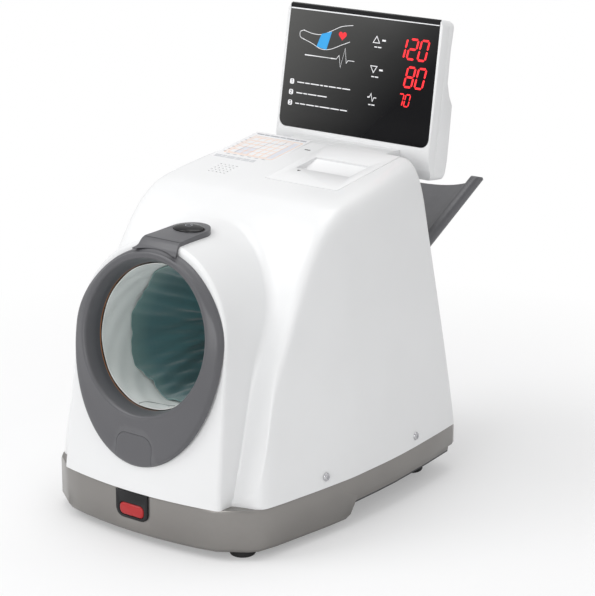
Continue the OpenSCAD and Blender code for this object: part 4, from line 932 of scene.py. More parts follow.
    def cut_openings(self, obj: Piece) -> None:
        """Cuts the tunnel, the arm's way out, the lid's well, the panel and the small holes.

        Args:
            obj: the shell.
        """
        Bench.cut(obj, Bench.place(Bench.rod("tool_hole", self.tunnel_r, -45, 15, 96), PLACES.tunnel))
        half, foot, middle, high = self.way_out
        arch = [(half, foot), (half, middle)]
        for degrees in range(5, 180, 5):
            a = math.radians(degrees)
            arch.append((half * math.cos(a), middle + high * math.sin(a)))
        arch += [(-half, middle), (-half, foot)]
        rear = PLACES.front @ shift(0, PLACES.back_y, 0) @ turn(90)
        Bench.cut(obj, Bench.place(Bench.slab("tool_exit", arch, -20, 60), rear))
        Bench.cut(obj, ArmRest().passage(self.rest_gap))
        well = Bench.slab("tool_well", round_rect(*self.well), -8, 12)
        Bench.place(well, PLACES.deck @ shift(*self.well_at, 0))
        x, y = self.panel
        tools = [well, Bench.place(Bench.block("tool_panel", (-x, -y, -30), (x, y, 30)), PLACES.panel)]
        for side in (-1, 1):
            for y in self.screw_ys:
                at = shift(side * blend_tables(self.plan, y), y, PLACES.base_top + self.screw_up)
                screw = Bench.rod("tool_screw", self.screw_r, -12, 12, 32)
                tools.append(Bench.place(screw, PLACES.front @ at @ turn(90, "Y")))
        for i in range(-2, 3):
            for k in range(-2, 3):
                at = shift(self.sound_at[0] + self.sound_step * i, self.sound_at[1] + self.sound_step * k, 0)
                tools.append(Bench.place(Bench.rod("tool_sound", 1, -9, 11, 16), PLACES.deck @ at))
        seat = Bench.rod("tool_seat", 1, -14, 6, 64)
        tools.append(Bench.place(seat, PLACES.bridge @ Matrix.Diagonal((*self.seat, 1, 1))))
        Bench.cut(obj, Bench.join(*tools))


@dataclass
class ArmRest:
    """The grey trough for the forearm, which slopes up and out of the rear wall."""

    half: float = 90.0
    deep: float = 40.0
    inside: float = 186.0
    outside: float = 124.0
    bar: float = 5.5
    bar_high: float = 8.0
    bar_front: float = -13.0
    trough: float = 20.0
    pad: Triple = (60.6, 46.6, -146.0)
    pocket: float = -27.0
    corner: float = 5.5
    roundness: float = 1.45
    end: tuple[Pair, ...] = (
        (-16, 8), (-10.5, 7), (-5.5, 4.2), (-1.5, 0.5), (1, -4), (1.3, -9), (-0.5, -14), (-3.5, -18), (-5.54, -22))

    def section(self, grow: float, high: float) -> list[Pair]:
        """Returns the outer section, grow larger all round, its side bars high over the rim."""
        w, deep = self.half + grow, self.deep + grow
        half = arc(w - self.bar, high - self.bar, self.bar, 90, 0, 8) if high else [(w - 3, grow)]
        for i in range(31):
            part = math.cos(math.radians(3 * i))
            half.append((w * part, -0.5 - (deep - 0.5) * max(0.0, 1 - part**self.roundness) ** (1 / self.roundness)))
        return half + [(-x, z) for x, z in reversed(half[:-1])]

    def along(self, name: str, outline: Sequence[Pair], start: float, end: float) -> Piece:
        """Returns a section run along the rest from start to end."""
        obj = Bench.slab(name, outline, -end, -start)
        obj.data.transform(turn(90))
        return obj

    def passage(self, grow: float) -> Piece:
        """Returns the form that it fills in the rear wall, grow larger all round, in place."""
        return Bench.place(self.along("tool_rest", self.section(grow, 0.0), -self.inside, 30), PLACES.rest)

    def trough_tool(self) -> Piece:
        """Returns what is cut out for the forearm, its mouth rounded over the bars."""
        w, rim = self.half - 2 * self.bar, self.bar_high - self.bar
        angles = [math.radians(6 * i) for i in range(1, 30)]
        floor = [(w * math.cos(a), -self.trough * math.sin(a) ** 0.8) for a in angles]
        mouth = arc(self.half - self.bar, rim, self.bar, 180, 90, 8)
        outline = [*reversed(mouth), (w, 0.0), *floor, (-w, 0.0), *[(-x, z) for x, z in mouth]]
        outline += [(-self.half + self.bar, 30.0), (self.half - self.bar, 30.0)]
        return self.along("tool_trough", outline, -self.inside - 5, self.outside + 10)

    def build(self) -> None:
        """Builds the arm rest, its pad and the hood over the forearm."""
        body = self.along("arm_rest_made", self.section(0.0, self.bar_high), self.bar_front, self.outside + 2)
        end = [(self.outside + y, z) for y, z in self.end]
        front, under = self.bar_front - 1, -self.deep - 2
        side = Bench.slab("tool_side", [(front, 16), *end, (end[-1][0], under), (front, under)], -99, 99)
        side.data.transform(turn(90, "Z") @ turn(90))
        Bench.cut(body, side, "INTERSECT")
        corner = arc(self.half - self.corner, self.outside - 4.2, self.corner, 0, 90, 6)
        plan = Bench.slab("tool_plan", [
            (self.half + 1, -20), *corner, *[(-x, y) for x, y in reversed(corner)], (-self.half - 1, -20)], -60, 30)
        Bench.cut(body, plan, "INTERSECT")
        Bench.cut(body, self.along("tool_neck", self.section(0.0, 0.0), -self.inside, self.bar_front + 1), "UNION")
        Bench.cut(body, self.trough_tool())
        wide, long, y = self.pad
        pocket = Bench.slab("tool_pocket", round_rect(wide, long, 8), self.pocket, 13)
        pocket.data.transform(shift(0, y, 0))
        Bench.cut(body, pocket)
        Bench.place(body, PLACES.rest)
        Bench.soften(body, 0.8, 2, angle=45, shade=45)
        dress(body, GREY, "monitor", "arm_rest")
        dress_refined("elbow_pad", 1.2, 3, "elbow_key", 0.5)
        dress_refined("exit_shroud", 0.0)


# ---------------------------------------------------------------- cuff front


@dataclass
class CuffFront:
    """The grey ring with its bib, and the insert in the bib."""

    crest: float = 76.0
    lip: float = 70.0
    half: float = 91.0
    top: float = 84.5
    drop: float = 124.0
    hole: float = 82.5
    insert_half: float = 22.0
    insert_top: float = -93.0
    insert_foot: float = -150.0
    insert_r: float = 12.0
    gap: float = 0.3

    def edge(self, a: float) -> float:
        """Returns the ring's outer radius at an angle in radians."""
        if math.sin(a) >= 0:
            return self.top + (self.half - self.top) * abs(math.cos(a)) ** 7
        return 1 / math.hypot(math.cos(a) / self.half, math.sin(a) / self.drop)

    def section(self, edge: float) -> list[Pair]:
        """Returns the ring's section as radius and depth: a rounded lip, crest and flank, then its back."""
        span = edge - self.crest
        front = [
            (self.lip, 18.0), (self.lip + 0.3, 15.0), (self.lip + 0.8, 11.0), (self.lip + 2.6, 5.0),
            (self.crest - 1.8, 1.2), (self.crest + 0.6, 0.0), (self.crest + 3.4, 0.6),
            (self.crest + 0.5 * span, 1.2 + 0.06 * span), (edge - 4, 2.4 + 0.075 * span),
            (edge - 1.2, 5.2 + 0.06 * span), (edge, 9.4)]
        return curve_through(front, 4) + [
            (edge, 16.0), (edge, 26.0), (self.hole + 0.4, 26.0), (self.hole + 0.4, 13.3), (self.crest + 1, 13.3),
            (self.crest, 18.0), (self.lip, 18.0)]

    def blank(self, name: str) -> Piece:
        """Returns the whole ring before anything is cut from it, in place."""
        steps = 144
        sections = [self.section(self.edge(2 * math.pi * i / steps)) for i in range(steps)]
        points = len(sections[0]) - 1

        def form(u: float, v: float) -> Triple:
            i, j = round(u * steps) % steps, round(v * points)
            a = 2 * math.pi * i / steps
            r, depth = sections[i][j]
            return r * math.cos(a), r * math.sin(a), -depth

        return Bench.place(Bench.sheet_form(name, steps, points, form), PLACES.tunnel)

    def insert_tool(self, grow: float) -> Piece:
        """Returns the prism that the insert fills, in place."""
        w, high, r = self.insert_half + grow, self.insert_top + grow, self.insert_r
        right = [(w, self.insert_foot)] + arc(w - r, high - r, r, 0, 90, 10)
        outline = right + [(-x, y) for x, y in reversed(right)]
        return Bench.place(Bench.slab("tool_insert", outline, -40, 20), PLACES.tunnel)

    def build(self) -> Piece:
        """Builds the ring and the insert, and returns a copy of the ring's form before it is cut."""
        keep = Bench.place(Bench.rod("tool_keep", self.hole - self.gap, -40, 60, 96), PLACES.tunnel)
        slab = Bench.place(Bench.block("tool_front", (-130, -140, -9.2), (130, 120, 40)), PLACES.tunnel)
        ring = Bench.cut(self.blank("cuff_ring_made"), Bench.cut(keep, slab, "UNION"), "INTERSECT")
        insert = Bench.twin(ring, "bib_insert_made")
        whole = Bench.twin(ring, "tool_ring")
        Bench.cut(ring, self.insert_tool(self.gap))
        Bench.cut(insert, self.insert_tool(0.0), "INTERSECT")
        for piece, width, node in ((ring, 0.35, "cuff_ring"), (insert, 0.5, "bib_insert")):
            dress(Bench.soften(piece, width, 2, angle=50, shade=45), GREY, "monitor", node)
        return whole


@dataclass
class Bridge:
    """The grey bridge from the ring over the cover, and the oval start button in it."""

    half: float = 20.5
    length: float = 51.0
    bore: float = 83.5
    button: Pair = (17.0, 12.0)
    gap: float = 0.35
    symbol_high: float = 3.15
    symbol_line: float = 0.6
    profile: tuple[Pair, ...] = (
        (24, 0.0), (-33, 0.0), (-37.5, -0.2), (-40.6, -1.2), (-42.8, -3.0), (-44.4, -5.0), (-46.0, -6.8), (-48.2, -8.2),
        (-51.0, -9.4))

    def plan(self, t: float) -> list[Pair]:
        """Returns the plan, t millimetres inside its edge, flared where it meets the ring."""
        w = self.half - t
        side = [(w, 0.0), (w + 0.2, -12.0), (w + 0.7, -24.0), (w + 1.4, -33.0), (w + 1.9, -40.0), (w + 2.8, -44.5),
                (w + 4.2, -48.0), (w + 6.4, -self.length)]
        right = curve_through(side, 4)
        return arc(0, 0, w, 0, 180, 40) + [(-x, y) for x, y in right[1:]] + [(x, y) for x, y in reversed(right[1:])]

    def build(self, cover: Piece, ring: Piece) -> None:
        """Builds the bridge and the button.

        Args:
            cover: the cover's closed outer form, which is used up.
            ring: the ring's closed form, which is used up.
        """
        body = Bench.slab("button_bridge_made", self.plan(0), -24, 6)
        line = curve_through(self.profile, 3)
        side = Bench.slab("tool_side", [*line, (-54.0, -40.0), (24.0, -40.0)], -60, 60)
        side.data.transform(turn(90, "Z") @ turn(90))
        Bench.cut(body, side, "INTERSECT")
        seat = Bench.rod("tool_oval", 1, -40, 10, 72)
        seat.data.transform(Matrix.Diagonal((self.button[0] + self.gap, self.button[1] + self.gap, 1, 1)))
        Bench.cut(body, seat)
        Bench.place(body, PLACES.bridge)
        Bench.cut(body, cover)
        Bench.cut(body, ring)
        Bench.cut(body, Bench.place(Bench.rod("tool_bore", self.bore, -60, 60, 128), PLACES.tunnel))
        Bench.soften(body, 0.9, 3, angle=48, shade=50)
        dress(body, GREY, "monitor", "button_bridge")
        self.key()

    def key(self) -> None:
        """Builds the domed oval button and its symbol."""
        line = [(0.0, 3.4), (0.35, 3.25), (0.6, 2.85), (0.8, 2.2), (0.92, 1.5), (0.98, 0.8), (1.0, -0.2), (1.0, -4.0),
                (0.97, -4.2), (0.0, -4.2)]
        fine = curve_through(line[:7], 4) + line[7:]
        rows, around = len(fine) - 1, 72

        def form(u: float, v: float) -> Triple:
            part, z = fine[round(u * rows)]
            a = ring_angle(v, around)
            return self.button[0] * part * math.cos(a), self.button[1] * part * math.sin(a), z

        key = Bench.place(Bench.sheet_form("start_button_made", rows, around, form), PLACES.bridge)
        Bench.soften(key, 0, shade=50)
        dress(key, BLACK_GLOSS, "start_key", "start_button")
        ink = Ink("start_symbol", PRINT_GREY, PLACES.bridge @ shift(0, 0, self.symbol_high), "start_key", 0.0, 0.2)
        angles = [math.radians(60 - 15 * i) for i in range(21)]
        ink.line([(3.4 * math.cos(a), 3.0 * math.sin(a)) for a in angles], self.symbol_line)
        ink.line([(0.0, 0.6), (0.0, 4.2)], self.symbol_line)
        ink.finish()


# ---------------------------------------------------------------- printed marks and display


@dataclass
class Ink:
    """A layer of thin printed marks in one colour, a film a few hundredths of a millimetre thick.

    It is drawn in the frame where, z out of the surface, from low to high, and moves with its body.
    """

    name: str
    colour: Finish
    where: Matrix
    body: str = "monitor"
    low: float = -0.03
    high: float = 0.05
    marks: list[Piece] = field(default_factory=list)

    def area(self, outline: Sequence[Pair]) -> None:
        """Prints a filled outline."""
        self.marks.append(Bench.slab(self.name, outline, self.low, self.high))

    def bar(self, x0: float, y0: float, x1: float, y1: float) -> None:
        """Prints a filled rectangle."""
        self.area([(x0, y0), (x1, y0), (x1, y1), (x0, y1)])

    def line(self, points: Sequence[Pair], width: float, closed: bool = False) -> None:
        """Prints a line of even width.

        Args:
            points: its corners.
            width: its width.
            closed: whether it comes back to its start.
        """
        path = list(points) + ([points[0]] if closed else [])
        last = len(path) - 1

        def form(u: float, v: float) -> Triple:
            i = round(u * last)
            before = path[i - 1] if i else (path[last - 1] if closed else path[0])
            after = path[i + 1] if i < last else (path[1] if closed else path[last])
            here = Vector(path[i])
            one = (here - Vector(before)).normalized() or (Vector(after) - here).normalized()
            two = (Vector(after) - here).normalized() or one
            middle = (one + two).normalized()
            reach = width * (v - 0.5) / max(0.5, middle.dot(one))
            return here.x - middle.y * reach, here.y + middle.x * reach, self.low

        obj = Bench.sheet_form(self.name, last, 1, form, merge=0.0005)
        thick = self.high - self.low
        self.marks.append(Bench.finish_modifier(obj, "SOLIDIFY", thickness=thick, offset=1.0))
        if sum(v.co.z for v in obj.data.vertices) / len(obj.data.vertices) < self.low:
            obj.data.transform(shift(0, 0, thick))

    def dashes(self, x: float, y: float, high: float, lengths: Sequence[float], gap: float = 1.2) -> None:
        """Prints a row of short bars."""
        for length in lengths:
            self.bar(x, y, x + length, y + high)
            x += length + gap

    def finish(self, slot: str = "label_print") -> None:
        """Joins the marks into one piece."""
        obj = Bench.place(Bench.join(*self.marks), self.where)
        Bench.outwards(obj)
        obj.name = obj.data.name = self.name
        dress(obj, self.colour, self.body, slot=slot)


def heart(x: float, y: float, size: float) -> list[Pair]:
    """Returns the outline of a heart about a point."""
    out = []
    for i in range(40):
        t = 2 * math.pi * i / 40
        high = sum(share * math.cos(k * t) for k, share in enumerate((0.8125, -0.3125, -0.125, -0.0625), 1))
        out.append((x + size * math.sin(t) ** 3, y + size * high))
    return out


@dataclass
class Display:
    """The leaning number display: its housing, glass, printed marks and lit digits."""

    rows: tuple[tuple[str, float, float, float], ...] = (
        ("120", 86.0, 20.0, 84.0), ("80", 58.0, 20.0, 84.0), ("70", 38.5, 12.0, 68.0))
    slant: float = 0.17
    thin: float = 0.6
    thick: float = 0.8
    step_x: float = -83.0
    steps: tuple[tuple[float, tuple[float, ...]], ...] = (
        (47.0, (9, 6, 11, 4, 5, 9, 6, 10)), (36.0, (8, 5, 11, 12)), (25.0, (5, 7, 10, 5, 13, 11, 9)))
    step_signs: tuple[tuple[Pair, ...], ...] = (
        ((-0.7, 1.0), (0.1, 1.7), (0.1, -1.7)),
        ((-1.0, 1.0), (0.0, 1.7), (0.9, 0.8), (-1.0, -1.6), (1.1, -1.6)),
        ((-1.0, 1.6), (0.9, 1.6), (-0.1, 0.3), (0.9, -0.7), (0.0, -1.7), (-1.1, -1.3)))
    arm: tuple[tuple[Pair, ...], ...] = (
        ((-74, 101), (-62, 98.5), (-50, 99), (-38, 104), (-26, 109.5), (-12, 112)),
        ((-74, 92), (-62, 88.5), (-50, 84), (-38, 85), (-26, 90), (-14, 95)),
        ((-74, 101), (-78.2, 99.4), (-79, 96), (-77.4, 93.2), (-74, 92)))
    pulse: tuple[tuple[Pair, ...], ...] = (
        ((-70, 76), (-36, 76)),
        ((-36, 76), (-29, 76), (-26, 80), (-23, 68), (-19, 88), (-16, 73), (-14, 76), (-6, 76)))
    bars: dict[str, str] = field(default_factory=lambda: {
        "0": "abcdef", "1": "bc", "2": "abged", "7": "abc", "8": "abcdefg"})

    @property
    def face(self) -> Matrix:
        """The frame that the marks are drawn in, on the front of the glass."""
        return PLACES.screen @ turn(90)

    def segment(self, ink: Ink, key: str, x: float, y: float, w: float, h: float) -> None:
        """Draws one bar of a digit.

        Args:
            ink: the layer.
            key: the bar, from a to g.
            x: left edge of the digit.
            y: foot of the digit.
            w: width of the digit.
            h: height of the digit.
        """
        t, gap = h * 0.052, h * 0.02
        ends = {
            "a": ((0, h), (w, h)), "b": ((w, h), (w, h / 2)), "c": ((w, h / 2), (w, 0)), "d": ((0, 0), (w, 0)),
            "e": ((0, 0), (0, h / 2)), "f": ((0, h / 2), (0, h)), "g": ((0, h / 2), (w, h / 2))}[key]
        one, two = Vector(ends[0]), Vector(ends[1])
        d = (two - one).normalized()
        n = Vector((-d.y, d.x))
        one, two = one + d * gap * 1.4, two - d * gap * 1.4
        line = [one, one + (d + n) * t, two + (n - d) * t, two, two - (d + n) * t, one + (d - n) * t]
        ink.area([(x + p.x + self.slant * p.y, y + p.y) for p in line])

    def digits(self) -> None:
        """Builds the three lit numbers."""
        ink = Ink("lit_digits", DIGITS, self.face)
        for text, foot, h, right in self.rows:
            for i, sign in enumerate(reversed(text)):
                x = right + h * 0.1 - (i + 1) * h * 0.66 - self.slant * h * 0.5
                for key in self.bars[sign]:
                    self.segment(ink, key, x, foot, h * 0.46, h)
        ink.finish("red_digits")

    def marks(self) -> None:
        """Builds the printed marks: three steps, a drawing of an arm in a cuff and the row symbols, and across the top
        of the glass a painted highlight line and a painted dark reflection strip.
        """
        ink = Ink("glass_marks", PRINT_WHITE, self.face)
        for y, lengths in self.steps:
            ink.area([(self.step_x + a, y + b) for a, b in round_rect(5.4, 5.4, 1.6, 4)])
            ink.dashes(-76, y - 0.6, 1.1, lengths)
        for points in self.arm:
            ink.line(curve_through(points, 5), self.thin)
        for points in self.pulse:
            ink.line(points, self.thin)
        # Painted highlight: a white line standing in for the glass's bend at the top.
        ink.line([(-93.5, 122.8), (93.5, 122.8)], self.thick)
        for y, up in ((101.0, 1), (71.0, -1)):
            ink.line([(15, y - 3.2 * up), (23, y - 3.2 * up), (19, y + 3.4 * up)], self.thick, closed=True)
            ink.dashes(26, y - 1.0, 1.8, (4.5,))
            ink.dashes(17, y - 8.0, 1.1, (3.5, 4.5), 0.8)
        ink.line([(15, 42.5), (17.5, 42.5), (19.2, 46.5), (21.4, 38.5), (23, 42.5), (26, 42.5)], self.thick)
        ink.dashes(17, 34.5, 1.1, (3, 4), 0.8)
        ink.finish()
        black = Ink("step_numbers_and_painted_reflection", BLACK_GLOSS, self.face, low=0.0, high=0.09)
        # Painted reflection: a black strip standing in for the bent-back top of the glass mirroring darker
        # surroundings.
        black.bar(-94, 123.3, 94, 127.6)
        for (y, _), sign in zip(self.steps, self.step_signs):
            black.line([(self.step_x + a, y + b) for a, b in sign], 0.55)
        black.finish()
        blue = Ink("glass_cuff", PRINT_BLUE, self.face, low=0.0, high=0.07)
        blue.area([(-56, 86.0), (-43, 83.8), (-38, 103.2), (-51, 99.4)])
        blue.finish()
        red = Ink("glass_heart", PRINT_RED, self.face, low=0.0, high=0.07)
        red.area(heart(-24, 100.5, 5.0))
        red.finish()

    def build(self) -> None:
        """Builds the display."""
        dress_refined("display_housing", 1.0, 3)
        dress_refined("display_back", 0.8)
        dress_refined("display_lens", 0.25)
        self.digits()
        self.marks()


# ---------------------------------------------------------------- tunnel lining and deck


@dataclass
class Sleeve:
    """The cloth lining of the arm tunnel: a pale mesh band and a gathered dark sleeve."""

    front: float = 19.8
    back: float = 143.4
    wide: float = 69.3
    narrow: float = 57.0
    cloth_start: float = 50.0
    band_end: float = 92.0
    band_thick: float = 0.6
    cloth_thick: float = 0.7
    girth: float = 0.43
    seam_inset: float = 1.0
    seam_r: float = 0.4
    around: int = 220

    def open_at(self, depth: float) -> float:
        """Returns the smooth radius at a depth."""
        s = (depth - self.front) / (self.back - self.front)
        return self.wide + (self.narrow - self.wide) * max(0.0, s) ** 1.6

    def folds(self, a: float, depth: float) -> float:
        """Returns how far the cloth falls in from its smooth radius."""
        s = max(0.0, (depth - self.cloth_start) / (self.back - self.cloth_start))
        swing = a + 0.22 * math.sin(2.2 * s + 1.3 * a)
        long_folds = math.sin(5 * swing + 1.5 * s + 0.5) + 0.7 * math.sin(8 * swing - 2.1 * s + 1.1)
        fine_folds = 0.3 * math.sin(19 * swing + 3 * s + 0.8 * math.sin(3 * a)) + 0.2 * math.sin(31 * a - 4 * s)
        sag = 0.5 * math.sin(3 * a + 6 * s) * s
        inner = 9.0 * s * s * (0.5 - 0.5 * math.cos(a))
        return (1.5 + 4.2 * s) * (1.0 + 0.58 * long_folds + fine_folds + sag) + inner

    def edge(self, a: float) -> float:
        """Returns the depth of the cloth's uneven front edge at an angle."""
        return self.cloth_start + 9.0 * math.sin(a - 2.2) + 3.2 * math.sin(3 * a + 0.4) + 1.7 * math.sin(8 * a)

    def tube(
        self, name: str, rows: int, radius: Callable[[float, float], float], start: Callable[[float], float],
        end: float, thick: float,
    ) -> Piece:
        """Builds one layer of the lining.

        Args:
            name: the piece.
            rows: rings along the tunnel.
            radius: radius for an angle and a depth.
            start: depth of the front edge for an angle.
            end: depth of the back edge.
            thick: thickness of the cloth.

        Returns:
            The layer, in place, with a UV map whose unit is a metre.
        """
        flat: list[Pair] = []

        def form(u: float, v: float) -> Triple:
            a = ring_angle(u, self.around)
            depth = start(a) + (end - start(a)) * v
            r = radius(a, depth)
            flat.append((u * 0.44, depth * MM))
            return r * math.cos(a), r * math.sin(a), -depth

        obj = Bench.sheet_form(name, self.around, rows, form, merge=0.0)
        layer = obj.data.uv_layers.active or obj.data.uv_layers.new()
        for loop in obj.data.loops:
            layer.data[loop.index].uv = flat[loop.vertex_index]
        Bench.edit(obj, lambda: bpy.ops.mesh.remove_doubles(threshold=0.002),
                   lambda: bpy.ops.mesh.normals_make_consistent(inside=False))
        Bench.place(obj, PLACES.tunnel)
        Bench.finish_modifier(obj, "SOLIDIFY", thickness=thick * MM, offset=-1.0)
        return Bench.soften(obj, 0, shade=80)

    def build(self) -> None:
        """Builds both layers and the seam."""
        band = self.tube(
            "sleeve_band", 26, lambda a, d: self.open_at(d) - 0.25 * (1 + math.sin(11 * a + 0.3 * d)),
            lambda a: self.front, self.band_end, self.band_thick)
        dress(band, MESH_CLOTH, "monitor", "cuff_liner", slot="sleeve_cloth")
        cloth = self.tube(
            "sleeve_inner", 70, lambda a, d: self.open_at(d) - 1.6 - self.folds(a, d), self.edge, self.back,
            self.cloth_thick)
        dress(cloth, TEAL_CLOTH, "monitor", "cuff_liner", slot="sleeve_cloth")
        self.seam()

    def seam(self) -> None:
        """Builds the stitched seam that runs in from the ring along the pale band."""
        path = []
        for angle, depth in curve_through([(-101, 20.6), (-102, 28), (-101, 35), (-95, 41), (-84, 45), (-66, 48)], 8):
            a, r = math.radians(angle), self.open_at(depth) - self.seam_inset
            path.append(Vector((r * math.cos(a), r * math.sin(a), -depth)))
        obj = Bench.swept("sleeve_seam", path, self.seam_r, 8, lambda here: Vector((here.x, here.y, 0)))
        Bench.place(obj, PLACES.tunnel)
        Bench.soften(obj, 0, shade=60)
        dress(obj, SEAM, "monitor", slot="trim_cord")


@dataclass
class Deck:
    """The printer's lid and the chart label on the deck."""

    low: Pair = (-98.0, 33.0)
    high: Pair = (-26.0, 111.0)
    left: float = -94.0
    grid_low: Pair = (-88.0, 50.0)
    grid_high: Pair = (-38.8, 96.0)
    column: float = 8.2
    row: float = 9.2
    under: float = 0.28
    line: float = 0.35
    border: float = 0.6

    def layer(self, name: str, finish: Finish, high: float) -> Ink:
        """Starts a printed layer of the label."""
        return Ink(name, finish, PLACES.deck, low=self.under, high=high)

    def label(self) -> None:
        """Builds the label with its printed chart."""
        (x0, y0), (x1, y1) = self.low, self.high
        plate = Bench.slab("chart_label_made", round_rect(x1 - x0, y1 - y0, 2, 4), 0.05, 0.3)
        Bench.place(plate, PLACES.deck @ shift((x0 + x1) / 2, (y0 + y1) / 2, 0))
        dress(Bench.soften(plate, 0.08, 1), LABEL, "monitor", "chart_label", slot="label_print")
        grey = self.layer("chart_title", PRINT_GREY, 0.36)
        grey.dashes(self.left, 104.5, 2.4, (9, 6, 12, 7, 10, 5, 8))
        for k in range(7):
            grey.dashes(self.left, 92 - k * 7, 1.0, (3.5,))
        for k in range(6):
            grey.dashes(-86 + 9.2 * k, 44.5, 1.0, (4.5,))
        for k in range(3):
            grey.dashes(self.left, 38.5 - k * 2.2, 0.8, (8, 5, 11, 7, 9, 6))
        grey.finish()
        shade = self.layer("chart_band", PRINT_LILAC, 0.33)
        for corners in ((-38.4, 50, -31, 96), (-79.4, 50.4, -71.6, 68.2), (-71.6, 50.4, -63.6, 68.2)):
            shade.bar(*corners)
        shade.finish()
        self.grid()
        steps = self.layer("chart_steps", PRINT_GREY, 0.39)
        steps.line([(-79.8, 50), (-79.8, 68.4), (-63.4, 68.4), (-63.4, 86.8), (-47, 86.8), (-47, 96)], 0.5)
        steps.finish()
        dark = Ink("deck_mark", DARK, PLACES.deck)
        dark.bar(-17.5, 86.2, -10.5, 88.0)
        dark.finish()

    def grid(self) -> None:
        """Prints the lines of the chart and its border."""
        orange = self.layer("chart_grid", PRINT_ORANGE, 0.37)
        (x0, y0), (x1, y1) = self.grid_low, self.grid_high
        for k in range(7):
            orange.line([(x0 + self.column * k, y0), (x0 + self.column * k, y1)], self.line)
        for k in range(6):
            orange.line([(x0, y0 + self.row * k), (x1, y0 + self.row * k)], self.line)
        orange.line([(-91, 47.6), (-29.5, 47.6), (-29.5, 99.4), (-91, 99.4)], self.border, closed=True)
        orange.finish()

    def lid(self) -> None:
        """Builds the lid with rounded edges and its arrow."""
        dress_refined("printer_lid", 0.45, body="lid")
        arrow = Ink("lid_arrow", DARK, PLACES.deck @ shift(0, 0, 0.4), "lid")
        arrow.area([(13.5, 35.4), (18.0, 35.4), (15.75, 32.2)])
        arrow.finish()

    def build(self) -> None:
        """Builds the deck's pieces."""
        self.label()
        self.lid()


# ---------------------------------------------------------------- base and inside


@dataclass
class Base:
    """The grey base with its steps, feet, screws, connector panel and emergency button."""

    plain: tuple[tuple[str, float], ...] = (
        ("side_screws", 0.15), ("foot_front_left", 0.8), ("foot_front_right", 0.8), ("foot_rear_left", 0.8),
        ("foot_rear_right", 0.8), ("bottom_plate", 0.3), ("bottom_screws", 0.15), ("rear_panel", 0.4),
        ("power_inlet", 0.25), ("power_switch", 0.4), ("switch_frame", 0.3), ("data_ports", 0.1),
        ("emergency_plate", 0.35), ("emergency_button", 0.9), ("display_bracket", 0.5), ("display_screws", 0.15))
    moving: dict[str, str] = field(default_factory=lambda: {
        "power_switch": "rocker", "emergency_button": "emergency_key"})
    thickness: float = 2.85
    below_top: float = 0.15
    shoulder: tuple[Pair, ...] = (
        (60.0, 30.0), (60.0, -12.5), (72.0, -10.7), (91.9, -6.2), (98.8, 0.3), (106.5, 5.7), (117.2, 11.1),
        (123.5, 19.0), (124.5, 30.0))

    def shoulders(self) -> None:
        """Builds the two flat shoulders of the base in front of the cover's foot."""
        top = PLACES.base_top - self.below_top
        sides = [
            Bench.slab("base_shoulders", [(side * x, y) for x, y in self.shoulder], top - self.thickness, top)
            for side in (1, -1)]
        obj = Bench.place(Bench.join(*sides), PLACES.front)
        Bench.soften(obj, 0.2, 1)
        dress(obj, BASE_GREY, "monitor")

    def build(self) -> None:
        """Builds the base's pieces with their edges rounded."""
        self.shoulders()
        dress_refined("base_tray", 0.7)
        for node, edge in self.plain:
            dress_refined(node, edge, body=self.moving.get(node, "monitor"))


